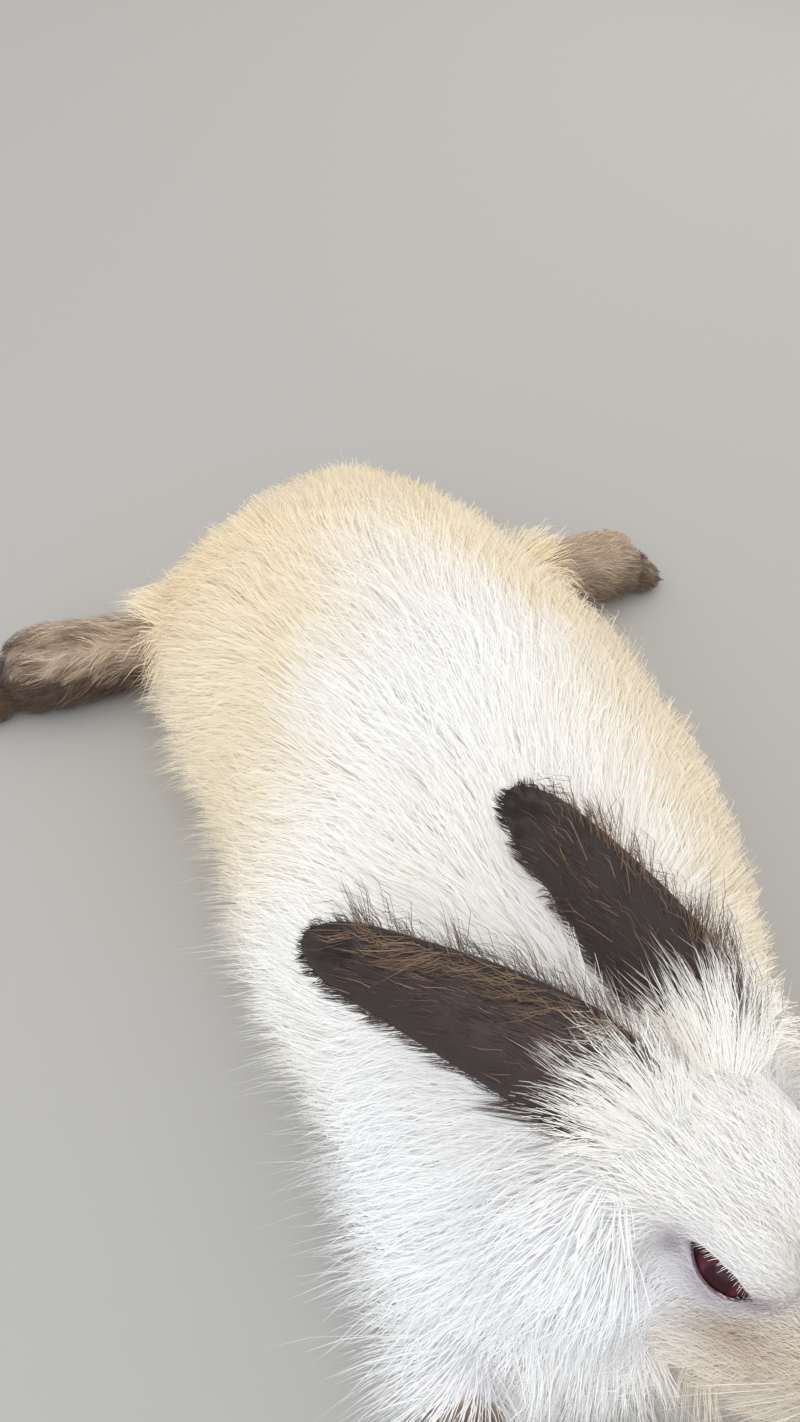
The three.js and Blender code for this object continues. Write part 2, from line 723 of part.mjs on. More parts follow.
function tailPieces(grow) {
  return [ellipsoidSolid(TAIL.centre, TAIL.radii, grow), ...locksOn(tailSurface, tailLocks(), grow)];
}

function earPieces(side, grow) {
  return [earShell(EARS[side], grow), ...earLocks(EARS[side], SEEDS.ear[side], grow)];
}

const WHITE = { color: 0xefe6d6, roughness: 0.95 };
const POINTS = { color: 0x4a3a35, roughness: 0.9 };
const FOOT_HAIR = { color: 0x9c8470, roughness: 0.9 };
const EYE_GLOSS = { color: 0x5a1f26, roughness: 0.15 };

// Every node, the outer ones first: each is cut clear of all those before it
const NODES = [
  { name: 'eye_right', look: EYE_GLOSS, pieces: (grow) => [eyeBall(1, grow)] },
  { name: 'eye_left', look: EYE_GLOSS, pieces: (grow) => [eyeBall(-1, grow)] },
  { name: 'ear_right', look: POINTS, pieces: (grow) => earPieces('right', grow) },
  { name: 'ear_left', look: POINTS, pieces: (grow) => earPieces('left', grow) },
  {
    name: 'head',
    look: WHITE,
    pieces: headPieces,
    cuts: () => [lidOpening(1), lidOpening(-1), ...faceSlots()],
  },
  { name: 'forepaw_right', look: FOOT_HAIR, pieces: (grow) => foot(FOREPAWS.right, grow) },
  { name: 'forepaw_left', look: FOOT_HAIR, pieces: (grow) => foot(FOREPAWS.left, grow) },
  { name: 'foreleg_right', look: WHITE, pieces: (grow) => [limb(FORELEGS.right, grow)] },
  { name: 'foreleg_left', look: WHITE, pieces: (grow) => [limb(FORELEGS.left, grow)] },
  { name: 'hindfoot_right', look: FOOT_HAIR, pieces: (grow) => foot(HINDFEET.right, grow) },
  { name: 'hindfoot_left', look: FOOT_HAIR, pieces: (grow) => foot(HINDFEET.left, grow) },
  { name: 'neck', look: WHITE, pieces: neckPieces },
  { name: 'torso', look: WHITE, pieces: torsoPieces },
  { name: 'hindleg_right', look: WHITE, pieces: (grow) => hindLegPieces('right', grow) },
  { name: 'hindleg_left', look: WHITE, pieces: (grow) => hindLegPieces('left', grow) },
  { name: 'tail', look: POINTS, pieces: tailPieces },
  { name: 'rump', look: WHITE, pieces: rumpPieces },
];

function meshOf(node, solid) {
  const look = new THREE.MeshStandardMaterial({ ...node.look, metalness: 0 });
  const mesh = new THREE.Mesh(geometryOf(solid), look);
  mesh.name = node.name;
  return mesh;
}

const rabbit = new THREE.Group();
const underFloor = boxSolid([-FLOOR_BOX, -FLOOR_BOX, -FLOOR_BOX], [FLOOR_BOX, FLOOR_BOX, 0]);
const clearances = [];
for (const node of NODES) {
  const whole = withoutAll(joined(node.pieces(0)), node.cuts?.() ?? []);
  const clear = withoutAll(whole, [...clearances, underFloor]);
  rabbit.add(meshOf(node, settled(clear)));
  clearances.push(joined(node.pieces(CLEARANCE)));
}

export default rabbit;
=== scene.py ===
import math

import bmesh
import bpy
import numpy as np
from mathutils import Matrix, Vector, noise
from mathutils.bvhtree import BVHTree
from mathutils.kdtree import KDTree


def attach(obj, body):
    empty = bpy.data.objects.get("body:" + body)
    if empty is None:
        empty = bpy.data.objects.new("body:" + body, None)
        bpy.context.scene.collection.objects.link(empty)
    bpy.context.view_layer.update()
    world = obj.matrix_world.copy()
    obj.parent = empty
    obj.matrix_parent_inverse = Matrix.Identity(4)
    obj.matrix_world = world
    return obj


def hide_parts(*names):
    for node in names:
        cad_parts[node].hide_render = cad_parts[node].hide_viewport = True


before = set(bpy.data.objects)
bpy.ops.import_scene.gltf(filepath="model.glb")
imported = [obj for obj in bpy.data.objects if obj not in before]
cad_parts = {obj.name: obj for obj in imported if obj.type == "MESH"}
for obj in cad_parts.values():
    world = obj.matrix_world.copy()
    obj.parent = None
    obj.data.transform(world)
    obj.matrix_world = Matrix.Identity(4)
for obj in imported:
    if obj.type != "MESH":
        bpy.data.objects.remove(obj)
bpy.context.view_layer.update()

# An angora rabbit stretched out on its belly, life size, in metres. It faces -Y,
# its left side is +X, and the origin lies on the floor under the belly.
scene = bpy.context.scene
noise.seed_set(7)           # without this each run gives other waves

camera = {
    "place": (-0.144, -0.300, 0.400),
    "heading": -21.69,      # degrees from +Y, negative to the right
    "down": 45.08,
    "roll": 11.72,
    "lens": 31.65,
    "sensor": 36.0,
}

# Body: place along Y, half width, sideways shift and height of the coat's outside
body = {
    "rows": [
        (-0.232, 0.012, 0.004, 0.022),
        (-0.224, 0.034, 0.002, 0.034),
        (-0.208, 0.060, 0.000, 0.056),
        (-0.186, 0.076, 0.002, 0.078),
        (-0.150, 0.080, 0.007, 0.100),
        (-0.110, 0.090, 0.007, 0.107),
        (-0.070, 0.099, 0.004, 0.111),
        (-0.030, 0.098, 0.003, 0.116),
        (0.010, 0.096, -0.002, 0.111),
        (0.050, 0.099, -0.011, 0.108),
        (0.090, 0.096, -0.016, 0.104),
        (0.130, 0.089, -0.015, 0.087),
        (0.170, 0.064, -0.006, 0.068),
        (0.205, 0.038, 0.000, 0.038),
        (0.216, 0.010, 0.004, 0.030),
    ],
    "widestLevel": 0.026,
    "bellyDrop": 0.036,
    "coatDepth": 0.021,
    "slimDepth": 0.6,       # the most of a half width that the coat may take
    "leastRise": 0.005,
    "fullBelly": 0.032,     # half width from which the belly hangs in full
    "reach": 0.225,         # from the origin to either end of the coat
    "bulge": 0.002,
    "segments": 40,
}

# Head, in a frame of its own: X to the rabbit's right, Y forward, Z up
head = {
    "place": (0.021, -0.161, 0.0),
    "turn": 210.0,
    "rows": [               # place forward, half width, top, bottom
        (-0.009, 0.020, 0.076, 0.036),
        (0.004, 0.029, 0.086, 0.022),
        (0.022, 0.034, 0.089, 0.014),
        (0.040, 0.0315, 0.0855, 0.010),
        (0.056, 0.0265, 0.077, 0.010),
        (0.070, 0.0225, 0.0675, 0.012),
        (0.082, 0.018, 0.058, 0.018),
        (0.088, 0.012, 0.052, 0.026),
        (0.0905, 0.006, 0.046, 0.034),
    ],
    "bulge": 0.0015,
    "segments": 32,
    "swellings": {          # side, forward, up and radii, on both sides
        "lipPad": ((0.0085, 0.078, 0.0345), (0.0095, 0.0095, 0.0085)),
        "cheek": ((0.019, 0.046, 0.034), (0.015, 0.020, 0.018)),
        "brow": ((0.0165, 0.040, 0.0715), (0.011, 0.016, 0.011)),
        "chin": ((0.003, 0.068, 0.0175), (0.010, 0.015, 0.0075)),
        "ruff": ((0.0290, 0.002, 0.042), (0.021, 0.027, 0.031)),
        "jowl": ((0.0120, 0.064, 0.0260), (0.0105, 0.017, 0.0135)),
    },
}
eye = {
    "side": 0.0200,         # from the middle of the head, then forward and up
    "along": 0.038,
    "up": 0.066,
    "radius": 0.0105,
    "lid": 0.0015,
    "gap": 0.0003,          # between the ball and its socket
    "tilt": 25.0,
    "halfLength": 0.0120,   # of the opening between the lids
    "upper": 0.0050,
    "lower": 0.0040,
    "cornea": 0.022,        # share of the radius that it stands proud
    "corneaSpread": 0.62,
    "gaze": (1, 0.10, -0.05),
    "cutPoints": 48,        # of the opening's edge
    "cutDepth": 0.022,
    "fineReach": 0.0165,    # how far round it the skin has finer faces
}
lidRim = {"thickness": 0.00065, "depth": 0.55, "points": 64, "sides": 10}
mouth = {
    "level": 0.0255,
    "back": 0.064,
    "depth": 0.0024,
    "width": 0.0012,
    "philtrumTop": 0.041,
    "philtrumWidth": 0.0009,
    "nostrilSide": 0.0046,
    "nostrilUp": 0.0440,
    "nostrilDepth": 0.0028,
    "nostrilSlope": 0.55,
    "nostrilSize": (0.0009, 0.0024),
    "noseFrom": 0.080,      # how far forward nose and cleft begin
    "lipSwell": 0.0009,
    "lipPad": ((0.0062, 0.005), (0.0325, 0.006)),   # side and up, each with its reach
    "bow": (0.0012, 0.006),
    "slope": 0.10,          # of the mouth line towards its corners
    "slopeFrom": 0.085,
    "fineFrom": 0.060,      # the muzzle's finer faces
    "fineBelow": 0.056,
}

# Limbs: middle lines with the half width at each point
limbs = {
    "foreleg_right": [(-0.026, -0.138, 0.017, 0.015), (-0.034, -0.164, 0.015, 0.013),
                      (-0.041, -0.188, 0.013, 0.0125)],
    "foreleg_left": [(0.044, -0.118, 0.017, 0.015), (0.066, -0.142, 0.015, 0.013),
                     (0.084, -0.166, 0.013, 0.0125)],
    "forepaw_right": [(-0.041, -0.188, 0.013, 0.0125), (-0.047, -0.210, 0.0120, 0.0125),
                      (-0.0505, -0.227, 0.0100, 0.0105)],
    "forepaw_left": [(0.084, -0.166, 0.013, 0.0125), (0.096, -0.186, 0.0120, 0.0125),
                     (0.104, -0.201, 0.0100, 0.0105)],
    "hindfoot_right": [(-0.074, 0.107, 0.018, 0.0175), (-0.112, 0.1015, 0.017, 0.0175),
                       (-0.142, 0.097, 0.016, 0.0165), (-0.168, 0.0925, 0.0125, 0.0130)],
    "hindfoot_left": [(0.060, 0.127, 0.017, 0.0175), (0.096, 0.141, 0.0165, 0.0170),
                      (0.124, 0.147, 0.0155, 0.0160), (0.144, 0.1525, 0.0125, 0.0130)],
}
limbMesh = {"seed": 0.002, "fullness": 1.08}
toes = {
    "spread": (-0.75, -0.26, 0.26, 0.75),   # shares of the foot's half width
    "length": 0.0100,
    "width": 0.0046,
    "height": 0.0062,
    "level": 0.00672,
    "reach": 0.0075,        # of the middle toes past the foot's end
    "fallBack": 0.6,        # of the outer toes
    "share": 1.6,           # how far the toes go, against the last length of the foot
}
claws = {"length": 0.0075, "thickness": 0.0015, "level": 0.0050, "hook": 0.0020, "from": 0.72}
tail = {"centre": (0.004, 0.203, 0.012), "radii": (0.009, 0.016, 0.009)}

# Ears: middle lines from inside the skull to the tip, with the way the cup opens
ears = {
    "right": {
        "line": [(0.012, -0.176, 0.080), (-0.004, -0.165, 0.093), (-0.027, -0.148, 0.101),
                 (-0.057, -0.128, 0.105), (-0.0835, -0.110, 0.105)],
        "cup": (-0.42, -0.55, 0.72),
    },
    "left": {
        "line": [(0.031, -0.166, 0.080), (0.027, -0.150, 0.095), (0.018, -0.131, 0.104),
                 (0.002, -0.102, 0.113), (-0.0145, -0.075, 0.1185)],
        "cup": (0.5, 0.1, -0.85),
    },
    "widths": (0.0085, 0.0148, 0.0176, 0.0153, 0.0116, 0.0084),
    "curl": 0.42,
    "thickness": 0.0022,
    "roundFrom": 0.86,
    "rows": 30,
    "columns": 10,
}

skinMesh = {"voxel": 0.0022, "smoothing": 12, "belly": 0.0012}


def linear(red, green, blue):
    return np.array([((c / 255 + 0.055) / 1.055) ** 2.4 for c in (red, green, blue)])


# Colours of the coat and of what shows between it
colours = {
    "white": linear(248, 246, 243),
    "cream": linear(241, 226, 199),
    "gold": linear(239, 211, 167),
    "point": linear(80, 67, 62),
    "pointDark": linear(62, 53, 50),
    "earTip": linear(52, 44, 44),
    "earPink": linear(100, 80, 81),
    "streak": linear(150, 122, 98),
    "greyHair": linear(166, 158, 154),
    "crown": linear(250, 246, 238),
    # painted skylight: a cool white that stands for window light on the front and bluish shade on
    # the lower face
    "paintedSkylightBlue": linear(229, 232, 240),
    "footDark": linear(100, 80, 68),
    "footLight": linear(214, 190, 166),
    "footMid": linear(170, 144, 122),
    "nose": linear(118, 98, 90),
    # beige of the muzzle, partly its own tone and partly painted shade
    "muzzle": linear(221, 205, 184),
    # painted shade before and below the eye
    "paintedShadeBelowEye": linear(190, 168, 150),
    "eyeRim": linear(122, 98, 102),
    # painted lilac shade round the eye, deeper at its corners
    "paintedLidShade": linear(190, 180, 190),
    "paintedCornerShade": linear(150, 134, 142),
}


def clearSelection():
    if bpy.context.object and bpy.context.object.mode != "OBJECT":
        bpy.ops.object.mode_set(mode="OBJECT")
    bpy.ops.object.select_all(action="DESELECT")


def activate(piece):
    clearSelection()
    piece.select_set(True)
    bpy.context.view_layer.objects.active = piece


def settle(piece):          # place, turn and size go into the mesh
    activate(piece)
    bpy.ops.object.transform_apply(location=True, rotation=True, scale=True)
    return piece


def applyModifier(piece, kind, **values):
    activate(piece)
    bpy.ops.object.modifier_add(type=kind)
    modifier = piece.modifiers[-1]
    for key, value in values.items():
        setattr(modifier, key, value)
    bpy.ops.object.modifier_apply(modifier=modifier.name)


def joinPieces(pieces, name):
    activate(pieces[0])
    for piece in pieces:
        piece.select_set(True)
    bpy.ops.object.join()
    joined = bpy.context.object
    joined.name = joined.data.name = name
    return joined


def addBall(centre, radii, turn=0.0, segments=24, rings=14):
    clearSelection()
    bpy.ops.mesh.primitive_uv_sphere_add(segments=segments, ring_count=rings, radius=1,
                                         location=centre, rotation=(0, 0, turn), scale=radii)
    return settle(bpy.context.object)


def selectOnly(mesh, wanted):
    for vertex in mesh.verts:
        vertex.select = vertex.index in wanted
    mesh.select_flush_mode()


def editAll(piece):         # into edit mode with everything selected
    activate(piece)
    bpy.ops.object.mode_set(mode="EDIT")
    bpy.ops.mesh.select_all(action="SELECT")


def leaveEdit():
    bpy.ops.object.mode_set(mode="OBJECT")


# A ball with its poles along Y, each ring of it sized and moved to its own place:
# rings hold place along, half width, rise over and drop under the level, shift, level
def ballThroughRings(rings, segments, bulge):
    clearSelection()
    count = len(rings) + 1
    bpy.ops.mesh.primitive_uv_sphere_add(segments=segments, ring_count=count, radius=1,
                                         rotation=(math.pi / 2, 0, 0))
    piece = settle(bpy.context.object)
    bpy.ops.object.mode_set(mode="EDIT")
    mesh = bmesh.from_edit_mesh(piece.data)
    mesh.verts.ensure_lookup_table()
    belts = {number: [] for number in range(count + 1)}
    for vertex in mesh.verts:
        turn = math.acos(max(-1.0, min(1.0, -vertex.co.y)))
        belts[round(turn * count / math.pi)].append(vertex.index)
    for number, (place, halfWidth, rise, drop, shift, level) in enumerate(rings, start=1):
        angle = math.pi * number / count
        ringPlace, radius = -math.cos(angle), math.sin(angle)
        centre = (0, ringPlace, 0)
        upper = {index for index in belts[number] if mesh.verts[index].co.z > 1e-5}
        lower = {index for index in belts[number] if mesh.verts[index].co.z < -1e-5}
        selectOnly(mesh, upper)
        bpy.ops.transform.resize(value=(1, 1, rise / radius), center_override=centre)
        selectOnly(mesh, lower)
        bpy.ops.transform.resize(value=(1, 1, drop / radius), center_override=centre)
        selectOnly(mesh, set(belts[number]))
        bpy.ops.transform.resize(value=(halfWidth / radius, 1, 1), center_override=centre)
        bpy.ops.transform.translate(value=(shift, place - ringPlace, level))
    for belt, ring, side in ((0, rings[0], -1), (count, rings[-1], 1)):
        place, _, rise, drop, shift, level = ring
        selectOnly(mesh, set(belts[belt]))
        end = (shift, place + side * bulge, level + (rise - drop) / 2)
        bpy.ops.transform.translate(value=Vector(end) - mesh.verts[belts[belt][0]].co)
    bpy.ops.object.mode_set(mode="OBJECT")
    applyModifier(piece, "SUBSURF", levels=1, render_levels=1)
    return piece


def bodyForm():
    rings = []
    for place, halfWidth, shift, height in body["rows"]:
        inset = min(body["coatDepth"], halfWidth * body["slimDepth"])
        rise = max(height - inset - body["widestLevel"], body["leastRise"])
        drop = body["bellyDrop"] * min(halfWidth / body["fullBelly"], 1)
        ends = 1 - body["coatDepth"] / body["reach"]
        rings.append((place * ends, halfWidth - inset, rise, drop, shift, body["widestLevel"]))
    return ballThroughRings(rings, body["segments"], body["bulge"])


def headFrame():
    turned = Matrix.Rotation(math.radians(head["turn"]), 4, "Z")
    return Matrix.Translation(head["place"]) @ turned


def headForms():
    rings = []
    for place, halfWidth, top, bottom in head["rows"]:
        halfHeight = (top - bottom) / 2
        rings.append((place, halfWidth, halfHeight, halfHeight, 0, (top + bottom) / 2))
    forms = [ballThroughRings(rings, head["segments"], head["bulge"])]
    for (side, along, up), radii in head["swellings"].values():
        for mirror in (-1, 1):
            forms.append(addBall((mirror * side, along, up), radii))
    for mirror in (-1, 1):
        reach = eye["radius"] + eye["lid"] + eye["gap"]
        forms.append(addBall((mirror * eye["side"], eye["along"], eye["up"]), (reach,) * 3))
    whole = joinPieces(forms, "headForm")
    whole.matrix_world = headFrame()
    return settle(whole)


# A limb: one corner drawn out along its middle line and given flesh
def limbForm(points):
    clearSelection()
    bpy.ops.mesh.primitive_plane_add(size=limbMesh["seed"], location=points[0][:3])
    piece = settle(bpy.context.object)
    editAll(piece)
    bpy.ops.mesh.merge(type="CENTER")
    for before, after in zip(points, points[1:]):
        step = Vector(after[:3]) - Vector(before[:3])
        bpy.ops.mesh.extrude_vertices_move(TRANSFORM_OT_translate={"value": step})
    leaveEdit()
    activate(piece)
    bpy.ops.object.modifier_add(type="SKIN")
    for vertex, point in zip(piece.data.skin_vertices[0].data, points):
        vertex.radius = (point[3] * limbMesh["fullness"],) * 2
    bpy.ops.object.modifier_apply(modifier=piece.modifiers[0].name)
    applyModifier(piece, "SUBSURF", levels=2, render_levels=2)
    return piece


def toePlaces(points):
    tip, before = Vector(points[-1][:3]), Vector(points[-2][:3])
    forward = tip - before
    forward.z = 0
    forward.normalize()
    side = Vector((-forward.y, forward.x, 0))
    halfWidth = points[-1][3]
    places = []
    for spread in toes["spread"]:
        reach = toes["reach"] * (1 - toes["fallBack"] * abs(spread) ** 1.5)
        centre = tip + forward * reach + side * spread * halfWidth
        centre.z = toes["level"]
        places.append((centre, forward))
    return places


def toeForms(points):
    return [addBall(centre, (toes["length"], toes["width"], toes["height"]),
                    math.atan2(forward.y, forward.x), segments=16, rings=10)
            for centre, forward in toePlaces(points)]


def makeSkin():
    forms = [bodyForm(), headForms(), addBall(tail["centre"], tail["radii"])]
    for name, points in limbs.items():
        forms.append(limbForm(points))
        if "foot" in name or "paw" in name:
            forms.extend(toeForms(points))
    skin = joinPieces(forms, "skin")
    skin.data.remesh_voxel_size = skinMesh["voxel"]
    bpy.ops.object.voxel_remesh()
    applyModifier(skin, "SMOOTH", factor=0.5, iterations=skinMesh["smoothing"])
    editAll(skin)
    bpy.ops.mesh.bisect(plane_co=(0, 0, skinMesh["belly"]), plane_no=(0, 0, 1),
                        clear_inner=True, use_fill=True)
    leaveEdit()
    print("skin remeshed", len(skin.data.vertices))
    refineFace(skin)
    cutEyes(skin)
    return skin


def inHead(points):         # places in the head's own frame
    inverse = np.array(headFrame().inverted())
    return points @ inverse[:3, :3].T + inverse[:3, 3]


def verticesOf(piece):
    points = np.empty(len(piece.data.vertices) * 3)
    piece.data.vertices.foreach_get("co", points)
    return points.reshape(-1, 3)


def normalsOf(piece):
    normals = np.empty(len(piece.data.vertices) * 3)
    piece.data.vertices.foreach_get("normal", normals)
    return normals.reshape(-1, 3)


def paint(mesh, tints):     # the colour of each point of a mesh
    mesh.attributes.new("marking", "FLOAT_COLOR", "POINT").data.foreach_set("color", tints.ravel())


# Frame of one eye: X out of it and a little upward, Y forward
def eyeFrame(mirror):
    place = Matrix.Translation((mirror * eye["side"], eye["along"], eye["up"]))
    turned = Matrix.Rotation(0 if mirror > 0 else math.pi, 4, "Z")
    if mirror < 0:      # Y stays forward on the left eye as well
        turned = turned @ Matrix.Scale(-1, 4, (0, 1, 0))
    tilted = Matrix.Rotation(math.radians(-eye["tilt"]), 4, "Y")
    return headFrame() @ place @ turned @ tilted


def eyeCentre(mirror):
    return eyeFrame(mirror).translation


# Finer faces round the eyes and on the muzzle, then lids, lips, mouth line and nostrils
def refineFace(skin):
    activate(skin)
    bpy.ops.object.mode_set(mode="EDIT")
    mesh = bmesh.from_edit_mesh(skin.data)
    inverse = headFrame().inverted()
    eyes = [eyeCentre(mirror) for mirror in (-1, 1)]
    for face in mesh.faces:
        centre = face.calc_center_median()
        local = inverse @ centre
        onMuzzle = local.y > mouth["fineFrom"] and local.z < mouth["fineBelow"]
        fromEye = min((centre - place).length for place in eyes)
        face.select = onMuzzle or fromEye < eye["fineReach"]
    mesh.select_flush_mode()
    bpy.ops.mesh.select_mode(type="FACE")
    bpy.ops.mesh.subdivide(number_cuts=2, smoothness=0)
    bpy.ops.mesh.select_mode(type="VERT")
    bpy.ops.object.mode_set(mode="OBJECT")
    points, normals = verticesOf(skin), normalsOf(skin)
    x, y, z = inHead(points).T
    front = y > mouth["back"] - 0.006
    level = mouth["level"] + mouth["bow"][0] * np.cos(x / mouth["bow"][1])
    level -= mouth["slope"] * np.clip(mouth["slopeFrom"] - y, 0, 1)
    line = blob((z - level, mouth["width"])) * smooth(mouth["back"], mouth["back"] + 0.008, y)
    low, high, ease = mouth["level"], mouth["philtrumTop"], 0.001
    cleft = blob((x, mouth["philtrumWidth"])) * smooth(low - ease, low + ease, z)
    cleft *= smooth(high + ease, high - ease, z) * (y > mouth["noseFrom"])
    beside, above = np.abs(x) - mouth["nostrilSide"], z - mouth["nostrilUp"]
    slant = above - mouth["nostrilSlope"] * beside
    run = beside + mouth["nostrilSlope"] * above
    thin, wide = mouth["nostrilSize"]
    nostril = blob((slant, thin), (run, wide)) * (y > mouth["noseFrom"])
    (padSide, padWidth), (padUp, padHeight) = mouth["lipPad"]
    pad = blob((np.abs(x) - padSide, padWidth), (z - padUp, padHeight)) * smooth(0.074, 0.084, y)
    push = mouth["lipSwell"] * pad - mouth["nostrilDepth"] * nostril
    push -= mouth["depth"] * np.maximum(line, 0.8 * cleft)
    points = points + normals * (push * front)[:, None]
    for place in eyes:      # lids stand off the ball of the eye
        away = points - np.array(place)
        distance = np.linalg.norm(away, axis=1)
        reach = eye["radius"] + eye["lid"]
        lift = np.where(distance < reach, reach, distance)
        points = np.array(place) + away * (lift / distance)[:, None]
    skin.data.vertices.foreach_set("co", points.ravel())
    skin.data.update()


def smooth(start, end, value):
    share = np.clip((value - start) / (end - start), 0, 1)
    return share * share * (3 - 2 * share)


def blob(*spans):           # 1 in the middle of a soft patch, less over each reach
    return np.exp(-sum((offset / reach) ** 2 for offset, reach in spans))


# The almond between the lids: half height at a place along it, up and down
def almond(count):
    outline = []
    for number in range(count):
        turn = 2 * math.pi * number / count
        along = eye["halfLength"] * math.cos(turn)
        fullness = (1 - (along / eye["halfLength"]) ** 2)
        high = eye["upper"] if math.sin(turn) >= 0 else -eye["lower"]
        outline.append((along, high * fullness))
    return outline


def almondBlock(mirror):
    clearSelection()
    bpy.ops.mesh.primitive_circle_add(vertices=eye["cutPoints"], radius=0.01, fill_type="NGON")
    block = bpy.context.object
    for vertex, (along, up) in zip(block.data.vertices, almond(eye["cutPoints"])):
        vertex.co = (along, up, 0)
    editAll(block)
    bpy.ops.mesh.extrude_region_move(TRANSFORM_OT_translate={"value": (0, 0, eye["cutDepth"])})
    leaveEdit()
    # the block's X runs along the head, its Y up and its Z out of the eye
    swapped = Matrix(((0, 0, 1, 0), (1, 0, 0, 0), (0, 1, 0, 0), (0, 0, 0, 1)))
    block.data.transform(eyeFrame(mirror) @ swapped)
    return faceOutward(block)


def faceOutward(piece):
    editAll(piece)
    bpy.ops.mesh.normals_make_consistent(inside=False)
    leaveEdit()
    return piece


def cutEyes(skin):
    for mirror in (-1, 1):
        ball = addBall(eyeCentre(mirror), (eye["radius"] + eye["gap"],) * 3,
                       segments=48, rings=32)
        for cutter in (ball, almondBlock(mirror)):
            applyModifier(skin, "BOOLEAN", object=cutter, operation="DIFFERENCE", solver="EXACT")
            bpy.data.objects.remove(cutter)


# A curve through the points of a line: its place and heading at a share
def curveAt(line, share):
    line = [Vector(point) for point in line]
    last = len(line) - 1
    number = min(int(share * last), last - 1)
    step = share * last - number
    before, start, end, after = (line[min(max(number + offset, 0), last)]
                                 for offset in (-1, 0, 1, 2))
    slopeIn = (end - before) / (2 if number else 1)
    slopeOut = (after - start) / (2 if number < last - 1 else 1)
    square, cube = step ** 2, step ** 3
    place = (start * (2 * cube - 3 * square + 1) + slopeIn * (cube - 2 * square + step)
             + end * (3 * square - 2 * cube) + slopeOut * (cube - square))
    heading = (start * (6 * square - 6 * step) + slopeIn * (3 * square - 4 * step + 1)
               + end * (6 * step - 6 * square) + slopeOut * (3 * square - 2 * step))
    return place, heading.normalized()


# A point of an ear's sheet and the ways along, across and out of its cup
def earPoint(side, share, part):
    place, forward = curveAt(ears[side]["line"], min(share, 1))
    across = forward.cross(Vector(ears[side]["cup"])).normalized()
    out = across.cross(forward).normalized()
    width = np.interp(share, np.linspace(0, 1, len(ears["widths"])), ears["widths"])
    rounding = max(share - ears["roundFrom"], 0) / (1 - ears["roundFrom"])
    halfWidth = width * math.sqrt(max(1 - rounding ** 2, 0.03))
    curl = ears["curl"] * min(share / 0.25, 1) * halfWidth
    point = place + across * part * halfWidth + out * curl * (part * part - 0.4)
    facing = (out - across * part * 2 * ears["curl"] * min(share / 0.25, 1)).normalized()
    return point, forward, across, facing


def makeEar(side):
    clearSelection()
    bpy.ops.mesh.primitive_grid_add(x_subdivisions=ears["columns"],
                                    y_subdivisions=ears["rows"], size=2)
    ear = bpy.context.object
    ear.name = ear.data.name = "ear_skin_" + side
    for vertex in ear.data.vertices:
        vertex.co = earPoint(side, (vertex.co.y + 1) / 2, vertex.co.x)[0]
    applyModifier(ear, "SOLIDIFY", thickness=ears["thickness"], offset=0)
    applyModifier(ear, "SUBSURF", levels=1, render_levels=1)
    faceOutward(ear)
    bpy.ops.object.shade_smooth()
    return ear


def makeEye(mirror, name):
    centre = eyeCentre(mirror)
    clearSelection()
    bpy.ops.mesh.primitive_uv_sphere_add(segments=64, ring_count=48, radius=eye["radius"])
    ball = bpy.context.object
    ball.name = ball.data.name = name
    outward = eyeFrame(mirror).to_3x3() @ Vector(eye["gaze"]).normalized()
    for vertex in ball.data.vertices:   # a cornea that stands a little proud of the ball
        angle = math.acos(max(-1, min(1, vertex.co.z / eye["radius"])))
        vertex.co *= 1 + eye["cornea"] * math.exp(-(angle / eye["corneaSpread"]) ** 4)
    fromPupil = [math.acos(max(-1, min(1, vertex.co.normalized().z)))
                 for vertex in ball.data.vertices]
    attribute = ball.data.attributes.new("fromPupil", "FLOAT", "POINT")
    attribute.data.foreach_set("value", fromPupil)
    turned = outward.to_track_quat("Z", "Y").to_matrix().to_4x4()
    ball.matrix_world = Matrix.Translation(centre) @ turned
    settle(ball)
    bpy.ops.object.shade_smooth()
    return ball


# The bare rim of the lids: a thin ring laid along the edge of the almond
def makeLidRim(mirror, name):
    clearSelection()
    count, thin = lidRim["points"], lidRim["sides"]
    bpy.ops.mesh.primitive_torus_add(major_segments=count, minor_segments=thin,
                                     major_radius=0.01, minor_radius=0.001)
    rim = bpy.context.object
    rim.name = rim.data.name = name
    frameHere = eyeFrame(mirror)
    reach = eye["radius"] + eye["lid"] * lidRim["depth"]
    outline = almond(count)
    spine = []
    for along, up in outline:
        depth = math.sqrt(max(reach ** 2 - along ** 2 - up ** 2, (0.30 * reach) ** 2))
        spine.append(Vector((depth, along, up)))
    for number in range(count):
        heading = (spine[(number + 1) % count] - spine[number - 1]).normalized()
        out = spine[number].normalized()
        across = heading.cross(out).normalized()
        for part in range(thin):
            turn = 2 * math.pi * part / thin
            offset = (across * math.cos(turn) + out * math.sin(turn)) * lidRim["thickness"]
            rim.data.vertices[number * thin + part].co = frameHere @ (spine[number] + offset)
    faceOutward(rim)
    bpy.ops.object.shade_smooth()
    return rim


